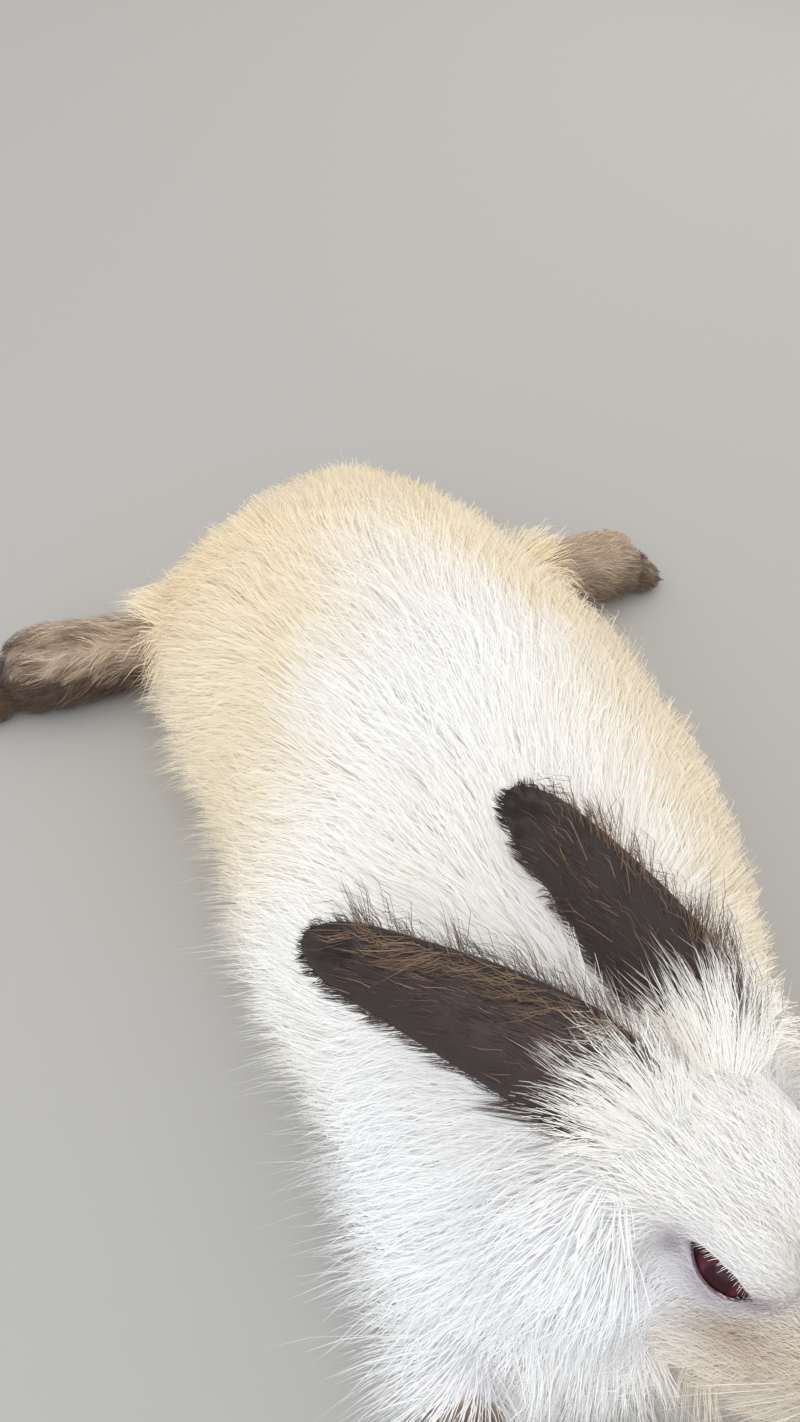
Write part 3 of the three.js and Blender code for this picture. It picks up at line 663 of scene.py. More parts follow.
def makeClaws():
    made = []
    for name, points in limbs.items():
        if "leg" in name:
            continue
        for centre, forward in toePlaces(points):
            clearSelection()
            bpy.ops.mesh.primitive_cone_add(vertices=10, radius1=claws["thickness"], radius2=0.0002,
                                            depth=claws["length"])
            claw = bpy.context.object
            editAll(claw)
            bpy.ops.mesh.subdivide(number_cuts=3)
            leaveEdit()
            for vertex in claw.data.vertices:   # a hook that curves down to its point
                rise = vertex.co.z / claws["length"] + 0.5
                vertex.co.x += claws["hook"] * rise ** 2
            start = centre + forward * (toes["length"] * claws["from"])
            start.z = claws["level"]
            turned = forward.to_track_quat("Z", "Y").to_matrix().to_4x4()
            down = turned.to_3x3().inverted() @ Vector((0, 0, -1))
            spin = Matrix.Rotation(math.atan2(down.y, down.x), 4, "Z")
            lift = Matrix.Translation((0, 0, claws["length"] * 0.5))
            claw.matrix_world = Matrix.Translation(start) @ turned @ spin @ lift
            made.append(settle(claw))
    joined = joinPieces(made, "claws")
    bpy.ops.object.shade_smooth()
    return joined


# The coat: every tuft is a closed three-sided lock of hair, rooted in the skin
coat = {
    "body": {"tufts": 60000, "wool": 9500, "width": 0.00031, "length": 0.036,
             "height": 0.0195, "clump": 0.26},
    "head": {"tufts": 28500, "wool": 3500, "width": 0.00027, "clump": 0.22},
    "feet": {"tufts": 9000, "wool": 0, "width": 0.00036, "clump": 0.35},
    "tail": {"tufts": 1600, "wool": 300, "width": 0.00040, "clump": 0.30},
    "ears": {"tufts": 15500, "width": 0.00027, "clump": 0.42},
    "wool": {"width": 0.0020, "length": 0.62, "height": 0.60},  # against the fine hair's own
    "long": {"shares": (0.0, 0.30, 0.66, 1.0), "fullness": (0.70, 1.0, 0.80)},
    "short": {"shares": (0.0, 0.45, 1.0), "fullness": (0.85, 0.85)},
    "sink": 0.0012,
    "floor": 0.0007,        # the lowest that a tuft and its tip lie
    "floorTips": 0.0009,
    "flat": 0.55,           # thickness of a tuft against its width
    "patch": 0.003,
    "clumpSpacings": (12, 70),      # tufts to one clump, small and large
    "clumpReach": 0.014,
    "wave": 0.075,
    "softNormals": 0.95,
    "tintRange": (0.01, 0.95),
}


def unit(vectors):
    return vectors / np.maximum(np.linalg.norm(vectors, axis=1), 1e-9)[:, None]


def onTangent(vectors, normals):
    return unit(vectors - normals * np.sum(vectors * normals, axis=1)[:, None])


def mixed(base, colour, weight):
    weight = np.clip(weight, 0, 1)[:, None]
    return base * (1 - weight) + np.asarray(colour) * weight


def waves(points, scale, seed=0.0):     # slow noise between about -1 and 1
    shift = Vector((seed, -seed, 0.5 * seed))
    return np.array([noise.noise(Vector(point) * scale + shift) for point in points])


def wavesOf(points, scale, seed=0.0):
    shift = Vector((seed, -seed, 0.5 * seed))
    return np.array([noise.noise_vector(Vector(point) * scale + shift)[:] for point in points])


def bodyShift(y):
    rows = np.array(body["rows"])
    return np.interp(y, rows[:, 0], rows[:, 2])


def headMeasure(local):     # 1 on the head's own surface, more outside it
    rows = np.array(head["rows"])
    halfWidth, top, bottom = (np.interp(local[:, 1], rows[:, 0], rows[:, column])
                              for column in (1, 2, 3))
    return np.hypot(local[:, 0] / halfWidth,
                    (local[:, 2] - (top + bottom) / 2) / ((top - bottom) / 2))


def footOf(points):         # distance over the nearest foot's surface, share along it, heading
    best = np.full(len(points), 1.0)
    shareAlong = np.zeros(len(points))
    heading = np.zeros((len(points), 3))
    for name, line in limbs.items():
        if "leg" in name:
            continue
        spots = np.array(line)
        lengths = np.linalg.norm(np.diff(spots[:, :3], axis=0), axis=1)
        reached = np.concatenate([[0], np.cumsum(lengths)]) / lengths.sum()
        for number in range(len(spots) - 1):
            start, end = spots[number, :3], spots[number + 1, :3]
            axis = end - start
            farthest = toes["share"] if number == len(spots) - 2 else 1
            share = np.clip((points - start) @ axis / (axis @ axis), 0, farthest)
            near = start + share[:, None] * axis
            radius = np.interp(share, (0, 1), (spots[number, 3], spots[number + 1, 3]))
            distance = np.linalg.norm(points - near, axis=1) - radius
            closer = distance < best
            best = np.where(closer, distance, best)
            part = reached[number] + share * (reached[number + 1] - reached[number])
            shareAlong = np.where(closer, part, shareAlong)
            heading[closer] = axis / np.linalg.norm(axis)
    return best, shareAlong, heading


# Where head, feet and tail begin on the skin
borders = {
    "head": {"from": -0.002, "measure": 1.20},
    "muzzle": {"middle": (0, 0.075, 0.038), "radius": 0.040, "from": 0.055},
    "brow": {"from": 0.015, "above": 0.050, "halfWidth": 0.034},
    "hindFoot": {"thickness": 0.005, "share": 0.30},
    "forePaw": {"thickness": 0.004, "shareRight": 0.62, "shareLeft": 0.30},
    "tail": {"measure": 1.25, "from": 0.198},
}


# Which part of the rabbit a place on the skin belongs to
def partsOf(points):
    local = inHead(points)
    side, along, up = local.T
    x, y, _ = points.T
    edge = borders["muzzle"]
    near = np.linalg.norm(local - np.array(edge["middle"]), axis=1) < edge["radius"]
    onMuzzle = (along > edge["from"]) & near
    edge = borders["brow"]
    onBrow = (along > edge["from"]) & (up > edge["above"]) & (np.abs(side) < edge["halfWidth"])
    edge = borders["head"]
    onHead = (along > edge["from"]) & (headMeasure(local) < edge["measure"]) | onMuzzle | onBrow
    distance, share, _ = footOf(points)
    edge = borders["hindFoot"]
    hindFoot = (distance < edge["thickness"]) & (y > 0) & (share > edge["share"])
    edge = borders["forePaw"]
    start = np.where(x < 0, edge["shareRight"], edge["shareLeft"])
    forePaw = (distance < edge["thickness"]) & (y < 0) & (share > start)
    onFoot = (hindFoot | forePaw) & ~onHead
    fromTail = np.linalg.norm((points - np.array(tail["centre"])) / np.array(tail["radii"]), axis=1)
    onTail = (fromTail < borders["tail"]["measure"]) & (y > borders["tail"]["from"])
    names = np.full(len(points), "body", dtype="<U4")
    names[onTail] = "tail"
    names[onFoot] = "feet"
    names[onHead] = "head"
    return names


# How much muzzle beige a place takes, more forward and lower: partly its own tone, partly painted
# shade
def muzzleShare(local):
    return 0.92 * smooth(0.028, 0.070, local[:, 1] + 0.45 * (0.052 - local[:, 2]))


# Colour of the coat at a place on the skin
def markings(points, names):
    x, y, z = points.T
    aside = x - bodyShift(y)
    patches = waves(points, 22, 3.0)
    rump = smooth(-0.02, 0.105, y)
    rightFlank = smooth(-0.035, -0.07, aside) * smooth(-0.10, -0.01, y)
    leftFlank = smooth(0.012, 0.050, aside) * smooth(-0.17, -0.10, y)
    bothLoins = smooth(0.012, 0.045, np.abs(aside)) * smooth(-0.03, 0.05, y)
    spine = blob((aside, 0.025), (y - 0.03, 0.06))
    cream = 0.14 + rump + 0.85 * (rightFlank + leftFlank) + 0.55 * bothLoins - 0.30 * spine
    colour = mixed(np.tile(colours["white"], (len(points), 1)), colours["cream"],
                   cream + 0.25 * patches)
    gold = 0.75 * blob((x + 0.070, 0.030), (y - 0.095, 0.028))
    gold += 0.45 * blob((x - 0.010, 0.060), (y - 0.150, 0.035))
    gold += 0.25 * smooth(0.03, 0.07, aside) * smooth(-0.12, -0.05, y)
    colour = mixed(colour, colours["gold"], gold * (1 + 0.6 * patches))
    feet, onHead, onBody = (names == part for part in ("feet", "head", "body"))
    if feet.any():
        colour[feet] = footMarkings(points[feet])
    shank = onBody & (y > 0.05)
    reach = np.where(x < 0, -x - 0.098, x - 0.082)
    colour[shank] = mixed(colour[shank], colours["footLight"],
                          0.6 * smooth(-0.004, 0.018, reach[shank]))
    # painted skylight: a cool tint on the front of the body, on its right side
    cool = smooth(-0.09, -0.16, y) * smooth(0.040, 0.0, x) * onBody
    colour = mixed(colour, colours["paintedSkylightBlue"], 0.38 * cool)
    local = inHead(points)
    # near the face the body's hair takes the muzzle beige too, partly painted shade
    beside = blob((np.maximum(headMeasure(local) - borders["head"]["measure"], 0), 0.30)) * onBody
    colour = mixed(colour, colours["muzzle"], beside * muzzleShare(local))
    colour[names == "tail"] = colours["point"]
    if onHead.any():
        colour[onHead] = faceMarkings(local[onHead], patches[onHead])
    return colour


# Feet: pale above and dark below and at the tip, the left hind foot the palest
def footMarkings(points):
    x, y, z = points.T
    _, share, _ = footOf(points)
    streaks = waves(points * np.array([1, 1, 1.6]), 140, 7.0)
    tip = smooth(0.55, 0.95, share)
    pale = smooth(0.02, 0.08, x)
    base = mixed(np.tile(colours["footLight"], (len(points), 1)), colours["footMid"],
                 0.05 + streaks + 0.35 * tip)
    base = mixed(base, colours["footLight"], 0.55 * pale)
    low = smooth(0.030, 0.013, z) * smooth(0.1, 0.4, share)
    hindDark = (1.2 - 0.5 * pale) * low + (0.70 - 0.45 * pale) * tip
    hindDark += (0.8 - 0.5 * pale) * streaks - 0.16
    foreDark = 0.55 + 0.35 * tip + 0.5 * streaks
    return mixed(base, colours["footDark"], np.where(y > 0, hindDark, foreDark))


# Face: beige muzzle, partly its own tone and partly painted shade; painted lilac shade round the
# lids, deeper at their corners; painted shade before and below the eye; and a dusky nose
def faceMarkings(local, patches):
    side, along, up = local.T
    face = mixed(np.tile(colours["white"], (len(local), 1)), colours["cream"], 0.08 + 0.1 * patches)
    # painted bluish shade low on the face
    face = mixed(face, colours["paintedSkylightBlue"], 0.45 * smooth(0.074, 0.045, up))
    face = mixed(face, colours["muzzle"], muzzleShare(local))
    fore, over = along - eye["along"], up - eye["up"]
    # painted lilac shade round the eye and deeper painted shade at its corners
    lid = blob((np.hypot(fore, over * 1.6), 0.0135)) * (np.abs(side) > 0.012)
    corners = blob((np.hypot(np.abs(fore) - 0.0135, over - 0.001), 0.0042)) * (np.abs(side) > 0.012)
    # painted shade before and below the eye
    below = blob((along - 0.052, 0.012), (up - 0.053, 0.008)) * (np.abs(side) > 0.010)
    nose = blob((np.linalg.norm(local - np.array([0, 0.089, 0.044]), axis=1), 0.0135))
    for name, weight in (("paintedLidShade", 0.9 * lid), ("paintedCornerShade", 0.8 * corners),
                         ("paintedShadeBelowEye", 0.75 * below), ("nose", 0.95 * nose)):
        face = mixed(face, colours[name], weight)
    return face


# How far the hair points to the rear at places along the body, and how far down its sides
lay = {
    "rearAt": (-0.215, -0.195, -0.165, -0.130, -0.085),
    "rear": (-0.62, -0.22, 0.14, 0.52, 1.0),
    "down": -0.70,
    "swirl": 0.18,          # on the head
    "loose": 0.19,          # each tuft's own way
}


# How the hair lies on the body: to the rear, down the sides, forward under the chin,
# and along the thighs towards the feet
def lieOnBody(points, normals):
    x, y, z = points.T
    aside = x - bodyShift(y)
    rear = np.interp(y, lay["rearAt"], lay["rear"])
    ruff = smooth(-0.09, -0.16, y)
    thigh = blob((y - 0.105, 0.055)) * smooth(0.03, 0.085, np.abs(aside))
    outward = np.tanh(aside / 0.03) * (0.34 + 1.1 * thigh + 0.75 * ruff)
    lie = np.stack([outward, rear * (1 - 0.45 * thigh), np.full(len(points), lay["down"])], axis=1)
    lie += (0.42 - 0.20 * ruff)[:, None] * wavesOf(points, 17, 1.0)
    lie += 0.34 * wavesOf(points, 48, 6.0)
    lie += 0.30 * wavesOf(points, 120, 8.0)
    return onTangent(lie, normals)


def lieOnHead(points, normals):
    local = inHead(points)
    away = local - np.array([0, 0.0905, 0.046])
    away = unit(away)
    away[:, 1] -= 0.9
    away[:, 2] -= 0.25 * smooth(0.05, 0.03, local[:, 2])
    turned = away @ np.array(headFrame())[:3, :3].T
    turned += lay["swirl"] * wavesOf(points, 45, 2.0)
    turned = onTangent(turned, normals)
    # low on its rear the hair turns the way the ruff lies
    share = smooth(0.074, -0.012, local[:, 1]) * smooth(0.090, 0.046, local[:, 2])
    return onTangent(mixed(turned, 0, share) + lieOnBody(points, normals) * share[:, None], normals)


# Lengths of the shorter hair, along the head and along a foot
hair = {
    "faceAt": (-0.01, 0.012, 0.028, 0.048, 0.066, 0.09),
    "face": (0.037, 0.033, 0.0215, 0.0120, 0.0070, 0.0036),
    "beard": 0.010,
    "lids": 0.0032,
    "footAt": (0.1, 0.5, 0.9, 1.2),
    "foot": (0.0150, 0.0110, 0.0080, 0.0050),
    "tail": 0.021,
    "tailHeight": 0.0085,
    "pawAt": (-0.049, -0.222, 0.012),
}


# Root, lie, length, height, width and clumping of every tuft of one part
def fieldOn(part, points, normals, draw):
    count = len(points)
    spread = draw.normal(0, 1, (count, 4))
    field = {"root": points, "normal": normals, "low": np.zeros(count), "shape": coat["short"]}
    settings = coat[part]
    if part == "body":
        lie = bodyField(field, spread, draw)
    else:
        lie = {"head": headField, "feet": feetField, "tail": tailField}[part](field, spread)
    low = field["low"]
    ruff = smooth(-0.10, -0.16, points[:, 1])
    field["lie"] = onTangent(lie + lay["loose"] * draw.normal(0, 1, (count, 3)), normals)
    woolly = np.arange(count) < settings["wool"]
    narrow = np.clip(field["length"] / coat["body"]["length"], 0.25, 1)
    narrow *= 1 - 0.45 * ruff - 0.25 * low
    narrow *= 1 - 0.60 * smooth(-0.005, 0.020, inHead(points)[:, 1])
    wool = coat["wool"]
    fine = settings["width"] * np.clip(1 + 0.22 * spread[:, 2], 0.5, 1.6)
    field["width"] = np.where(woolly, wool["width"] * narrow, fine)
    field["length"] = field["length"] * np.where(woolly, wool["length"] * (1 - 0.3 * low), 1)
    field["height"] = field["height"] * np.where(woolly, wool["height"], 1)
    field["clump"] = settings["clump"] * np.where(woolly, 0, 1) * (1 - 0.5 * ruff)
    return field


# Long hair: shorter on the thighs, over the paws and beside the face, fuller on the left flank
def bodyField(field, spread, draw):
    settings = coat["body"]
    points = field["root"]
    x, y, z = points.T
    count = len(points)
    low = smooth(0.046, 0.018, z)
    foot = np.where(x < 0, -x - 0.078, x - 0.066)
    local = inHead(points)
    fromHead = np.maximum(headMeasure(local) - 1.15, 0)
    nearHead = blob((fromHead, 0.35)) * (local[:, 1] > -0.01)
    besideFace = blob((fromHead, 0.60)) * smooth(0.0, 0.030, local[:, 1])
    paw = smooth(0.034, 0.014, np.linalg.norm(points - np.array(hair["pawAt"]), axis=1))
    shorter = 1 - 0.60 * smooth(0, 0.036, foot) * (y > 0.03)
    for share, place in ((0.08, smooth(0.15, 0.19, y)), (0.15, nearHead), (0.40, paw),
                         (0.32, besideFace)):
        shorter = shorter * (1 - share * place)
    strayLength = 0.30 + 0.35 * draw.random(count)
    stray = 1 + strayLength * (draw.random(count) < 0.04 + 0.10 * low)
    aside = x - bodyShift(y)
    flank = blob((y, 0.070)) * smooth(0.025, 0.065, np.abs(aside))
    length = settings["length"] * shorter * stray * (1 + 0.15 * spread[:, 0]) * (1 - 0.10 * low)
    height = settings["height"] * shorter * (0.8 + 0.2 * stray) * (1 + 0.14 * spread[:, 1])
    field["length"] = length * (1 + np.where(aside > 0, 0.26, -0.14) * flank)
    field["height"] = height * (1 + np.where(aside > 0, 0.38, -0.26) * flank)
    field["low"] = low
    field["shape"] = coat["long"]
    return lieOnBody(points, field["normal"])


# The face's hair: long at the back of the head and the cheeks, shortest round the eyes and nose
def headField(field, spread):
    local = inHead(field["root"])
    side, along, up = np.abs(local[:, 0]), local[:, 1], local[:, 2]
    length = np.interp(along, hair["faceAt"], hair["face"])
    cheek = smooth(0.010, 0.026, side) * smooth(0.064, 0.044, up)
    cheek *= smooth(0.078, 0.044, along) * smooth(-0.01, 0.025, along)
    beard = smooth(0.034, 0.016, up) * smooth(0.088, 0.072, along)
    length = length * (1 + 0.50 * cheek) + hair["beard"] * beard
    around = np.hypot(along - eye["along"] - 0.001, (up - eye["up"]) * 1.4)
    nearEye = smooth(0.040, 0.010, around) * (side > 0.010)
    length = length * (1 - nearEye) + hair["lids"] * nearEye
    field["length"] = length * (1 + 0.15 * spread[:, 0])
    field["height"] = length * (0.34 + 0.10 * cheek + 0.20 * beard) * (1 + 0.25 * spread[:, 1])
    return lieOnHead(field["root"], field["normal"])


def feetField(field, spread):
    points = field["root"]
    _, share, heading = footOf(points)
    length = np.interp(share, hair["footAt"], hair["foot"]) * np.where(points[:, 1] < 0, 1.05, 1)
    field["length"] = length * (1 + 0.18 * spread[:, 0])
    field["height"] = length * 0.34 * (1 + 0.3 * spread[:, 1])
    lie = heading + 0.22 * wavesOf(points, 60, 4.0) + np.array([0, 0, -0.15])
    return onTangent(lie, field["normal"])


def tailField(field, spread):
    field["length"] = hair["tail"] * (1 + 0.2 * spread[:, 0])
    field["height"] = hair["tailHeight"] * (1 + 0.3 * spread[:, 1])
    lie = np.array([0.05, 1.0, 0.05]) + 0.25 * wavesOf(field["root"], 40, 5.0)
    return onTangent(lie, field["normal"])


# Places spread evenly over the faces of the skin that a test keeps
class Skin:
    def __init__(self, piece):
        mesh = piece.data
        mesh.calc_loop_triangles()
        count = len(mesh.loop_triangles)
        self.points = verticesOf(piece)
        self.normals = normalsOf(piece)
        corners = np.empty(count * 3, dtype=np.int32)
        mesh.loop_triangles.foreach_get("vertices", corners)
        self.corners = corners.reshape(-1, 3)
        a, b, c = (self.points[self.corners[:, corner]] for corner in range(3))
        self.areas = np.linalg.norm(np.cross(b - a, c - a), axis=1) / 2
        self.centres = (a + b + c) / 3
        self.facing = np.cross(b - a, c - a)[:, 2] / np.maximum(2 * self.areas, 1e-12)
        self.tree = BVHTree.FromPolygons(self.points.tolist(), self.corners.tolist())
        self.parts = partsOf(self.centres)

    def scatter(self, part, count, draw):
        weights = self.areas * (self.parts == part)
        weights[(self.facing < -0.80) & (self.centres[:, 2] < 0.006)] = 0
        if part == "head":
            local = inHead(self.centres)
            around = np.linalg.norm(np.column_stack([np.abs(local[:, 0]), local[:, 1:]])
                                    - np.array([eye["side"], eye["along"], eye["up"]]), axis=1)
            weights[around < eye["radius"] + 0.0008] = 0
            weights[headMeasure(local) < 0.80] = 0
            weights *= 1 + 1.2 * smooth(0.02, 0.07, local[:, 1])
        reached = np.cumsum(weights)
        picks = draw.permutation((np.arange(count) + draw.random(count)) / count) * reached[-1]
        faces = np.searchsorted(reached, picks)
        shares = draw.random((count, 2))
        over = shares.sum(axis=1) > 1
        shares[over] = 1 - shares[over]
        shares = np.column_stack([1 - shares.sum(axis=1), shares])
        places = np.einsum("nk,nkd->nd", shares, self.points[self.corners[faces]])
        normals = unit(np.einsum("nk,nkd->nd", shares, self.normals[self.corners[faces]]))
        return places, normals

    def nearest(self, points):
        found = [self.tree.find_nearest(Vector(point)) for point in points]
        return np.array([hit[0][:] for hit in found]), np.array([hit[1][:] for hit in found])


# How a tuft runs: over the skin, and near the floor loose and away from the body
flow = {
    "forward": 0.90,        # how much of the length goes forward
    "rise": 2.5,            # how soon it reaches its height
    "dip": 0.13,
    "bends": 5.0,
    "bendPatches": 6.0,     # neighbours bend together
    "bendLoose": 0.5,
    "outward": 0.80,        # the rest near the floor
    "lengthwise": 0.45,
    "asLaid": 0.15,
    "loose": 0.14,
    "forwardLow": 0.92,
    "arch": (0.42, 0.62),
}


# The middle line of each tuft
def tuftPaths(field, skin, draw):
    root, normal, lie = field["root"], field["normal"], field["lie"]
    length, height, low = (field[key][:, None] for key in ("length", "height", "low"))
    steep = np.hypot(normal[:, 0], normal[:, 1])[:, None]
    outward = unit((normal * steep + lie * (1 - steep)) * np.array([1, 1, 0]) + 1e-6)
    lengthwise = np.array([0, 1, 0]) * np.sign(lie[:, 1:2] + 0.2) * np.abs(lie[:, 1:2])
    run = unit(flow["outward"] * outward + flow["lengthwise"] * lengthwise
               + flow["asLaid"] * lie + flow["loose"] * draw.normal(0, 1, root.shape))
    paths = []
    beside = np.cross(lie, normal)
    phase = flow["bendPatches"] * waves(root, 26, 9.0)[:, None]
    phase = phase + flow["bendLoose"] * draw.normal(0, 1, (len(root), 1))
    for share in field["shape"]["shares"]:
        onward = root + lie * length * flow["forward"] * share
        spot, facing = (root, normal) if share == 0 else skin.nearest(onward)
        sunk = coat["sink"] * (1 - share) ** 3
        rise = height * (1 - (1 - share) ** flow["rise"]) * (1 - flow["dip"] * share ** 3) - sunk
        clinging = spot + unit(0.5 * facing + 0.5 * normal) * rise
        bend = np.sin(flow["bends"] * share + phase)
        clinging = clinging + beside * length * coat["wave"] * share * bend
        free = root + run * length * flow["forwardLow"] * share - normal * sunk
        free[:, 2] += length[:, 0] * (flow["arch"][0] * share - flow["arch"][1] * share ** 2)
        paths.append(clinging * (1 - low) + free * low)
    return np.stack(paths, axis=1)


def gathered(paths, shares, strength, draw):    # tips drawn towards the middle tuft of each clump
    count = len(paths)
    for spacing in coat["clumpSpacings"]:
        middles = draw.permutation(count)[:max(count // spacing, 1)]
        tree = KDTree(len(middles))
        for number, index in enumerate(middles):
            tree.insert(paths[index, 0], number)
        tree.balance()
        nearest = np.array([middles[tree.find(spot)[1]] for spot in paths[:, 0]])
        close = np.linalg.norm(paths[nearest, 0] - paths[:, 0], axis=1) < coat["clumpReach"]
        pull = np.multiply.outer(strength * close, np.array(shares) ** 1.3)
        paths = paths + (paths[nearest] - paths) * pull[..., None]
    return paths


# Closed tufts as one mesh: rings of three corners along each path and a point at its tip
def tuftMesh(name, shape, paths, normals, widths, tints, spots, draw):
    count = len(paths)
    rings = len(shape["fullness"])
    forward = np.empty((count, rings, 3))
    forward[:, 0] = paths[:, 1] - paths[:, 0]
    forward[:, 1:] = paths[:, 2:] - paths[:, :-2]
    forward /= np.maximum(np.linalg.norm(forward, axis=2), 1e-9)[..., None]
    side = np.cross(forward, normals[:, None, :])
    side /= np.maximum(np.linalg.norm(side, axis=2), 1e-9)[..., None]
    up = np.cross(side, forward)
    thirds = np.array([0.5, 0.5 + 2 / 3, 0.5 + 4 / 3]) * math.pi
    turns = draw.uniform(-0.7, 0.7, count)[:, None] + thirds
    corners = np.empty((count, rings, 3, 3))
    away = np.empty((count, rings, 3, 3))
    for ring, full in enumerate(shape["fullness"]):
        half = (widths * full / 2)[:, None, None]
        offset = (side[:, ring, None, :] * np.cos(turns)[..., None]
                  + up[:, ring, None, :] * (np.sin(turns) * coat["flat"])[..., None])
        corners[:, ring] = paths[:, ring, None, :] + offset * half
        away[:, ring] = offset
    corners[..., 2] = np.maximum(corners[..., 2], coat["floor"])
    tips = paths[:, -1].copy()
    tips[:, 2] = np.maximum(tips[:, 2], coat["floorTips"])
    vertices = np.concatenate([corners.reshape(count, -1, 3), tips[:, None]], axis=1)
    perTuft = rings * 3 + 1
    faces = [(0, 1, 2)]
    for ring in range(rings - 1):
        for part in range(3):
            here, there = ring * 3 + part, ring * 3 + (part + 1) % 3
            faces += [(here, here + 3, there), (there, here + 3, there + 3)]
    last = (rings - 1) * 3
    faces += [(last + part, last + 3, last + (part + 1) % 3) for part in range(3)]
    faces = np.array(faces)
    allFaces = (faces[None] + perTuft * np.arange(count)[:, None, None]).reshape(-1, 3)
    mesh = bpy.data.meshes.new(name)
    mesh.from_pydata(vertices.reshape(-1, 3), [], allFaces)
    piece = bpy.data.objects.new(name, mesh)
    scene.collection.objects.link(piece)
    shares = np.append(np.repeat(shape["shares"][:rings], 3), 1.0)
    along = mesh.attributes.new("alongTuft", "FLOAT", "POINT")
    along.data.foreach_set("value", np.tile(shares, count))
    tint = np.ones((count, perTuft, 4))
    tint[..., :3] = tints[:, None, :]
    paint(mesh, tint)
    across = np.append(np.tile((0.0, 0.5, 1.0), rings), 0.5)
    patch = (np.column_stack([across, shares]) - 0.5) * coat["patch"] * 0.8
    places = spots[:, None, :] + patch[None]
    unwrapped = np.clip(places, 0, 1).reshape(-1, 2)[allFaces.ravel()]
    mesh.uv_layers.new(name="OFBake").data.foreach_set("uv", unwrapped.ravel())
    soft = coat["softNormals"]
    turned = normals[:, None, None, :] * soft + away * (1 - soft) * 1.3
    shading = np.concatenate([turned.reshape(count, -1, 3), normals[:, None]], axis=1)
    mesh.polygons.foreach_set("use_smooth", np.ones(len(allFaces), dtype=bool))
    mesh.normals_split_custom_set_from_vertices(unit(shading.reshape(-1, 3)).tolist())
    return piece


def spotsOnBody(points):    # unwrapped round the middle line of the body
    x, y, z = points.T
    turn = np.arctan2(z - body["widestLevel"] * 0.4, x - bodyShift(y)) / math.pi
    return np.column_stack([turn, (y - y.min()) / max(np.ptp(y), 1e-6)])


def spotsOnHead(points):
    local = inHead(points)
    turn = np.arctan2(local[:, 0], local[:, 2] - 0.045) / (2 * math.pi) + 0.5
    along = local[:, 1] + 0.02 * smooth(0.08, 0.092, local[:, 1]) * (0.06 - local[:, 2]) / 0.03
    return np.column_stack([turn, (along - along.min()) / max(np.ptp(along), 1e-6)])


def spotsOnFeet(points):    # one strip for each foot, unwrapped round its middle line
    _, share, heading = footOf(points)
    foot = (points[:, 0] > 0) * 1 + (points[:, 1] > 0) * 2
    aside = np.sum(points * np.cross(heading, [0, 0, 1]), axis=1)
    for number in np.unique(foot):
        aside[foot == number] -= aside[foot == number].mean()
    turn = np.arctan2(points[:, 2] - 0.014, aside) / (2 * math.pi) + 0.5
    return np.column_stack([(foot + 0.05 + 0.9 * turn) / 4, np.clip(share / toes["share"], 0, 1)])


def growCoat(skin):
    draw = np.random.default_rng(11)
    surface = Skin(skin)
    pieces = []
    bodyNames = ("shoulders", "withers", "back", "loins", "hips", "rump")
    for part, names, unwrap in (("body", bodyNames, spotsOnBody), ("tail", ("tail",), spotsOnBody),
                                ("head", ("face", "crown"), spotsOnHead),
                                ("feet", ("feet",), spotsOnFeet)):
        points, normals = surface.scatter(part, coat[part]["tufts"], draw)
        field = fieldOn(part, points, normals, draw)
        shape = field["shape"]
        paths = gathered(tuftPaths(field, surface, draw), shape["shares"], field["clump"], draw)
        if part == "body":
            paths = underEars(paths)
        tints = markings(points, np.full(len(points), part, dtype="<U4"))
        varied = 1 + 0.03 * draw.normal(0, 1, len(points)) + 0.035 * waves(points, 75, 12.0)
        tints = tints * varied[:, None]
        if part == "feet":
            tints = tints * np.exp(0.22 * draw.normal(0, 1, len(points)))[:, None]
        tints = np.clip(tints, *coat["tintRange"])
        order = np.argsort(-inHead(points)[:, 1] if part == "head" else points[:, 1])
        for name, chosen in zip(names, np.array_split(order, len(names))):
            pieces.append(tuftMesh("coat_" + name, shape, paths[chosen], normals[chosen],
                                   field["width"][chosen], tints[chosen], unwrap(points[chosen]),
                                   draw))
        print("coat grown on the", part, len(points))
    return pieces


# Tufts of the back that would come up through an ear lie flat under it
def underEars(paths):
    down, rise = Vector((0, 0, -1)), Vector((0, 0, 1))
    graph = bpy.context.evaluated_depsgraph_get()
    for side in ("right", "left"):
        ear = bpy.data.objects["ear_skin_" + side]
        tree, points = BVHTree.FromObject(ear, graph), verticesOf(ear)
        low, high = points.min(axis=0)[:2] - 0.024, points.max(axis=0)[:2] + 0.024
        tips = paths[:, -1, :2]
        for index in np.flatnonzero(np.all((tips > low) & (tips < high), axis=1)):
            start = Vector(paths[index, 0])
            for step in range(1, paths.shape[1]):
                spot = Vector(paths[index, step])
                above = tree.ray_cast(Vector((spot.x, spot.y, 0.2)), down)[0]
                if above is None:
                    continue
                under = tree.ray_cast(Vector((spot.x, spot.y, 0.0)), rise)[0] or above
                paths[index, step, 2] = min(spot.z, max(under.z - 0.0025, start.z + 0.001))
    return paths


# Hair of the ears: short on both faces, streaming from one edge, pale at the base
earHair = {                 # shortest length, what a draw adds to it, height against the length
    "plain": (0.0050, 0.003, 0.13),
    "fallen": (0.007, 0.007, 0.20),
    "wisp": (0.008, 0.024, 0.32),
    "base": (0.014, 0.014, 0.26),
    "inside": 1.7,          # how much longer it is inside than outside
    "tip": 0.7,
    "loose": 0.10,          # scatter of the lie
    "looseFallen": 0.14,
    "looseWisp": 0.26,
    "sink": 0.0006,
    "drop": 0.10,
    "widths": (0.0002, 0.001),
    "tintRange": (0.01, 0.97),
}


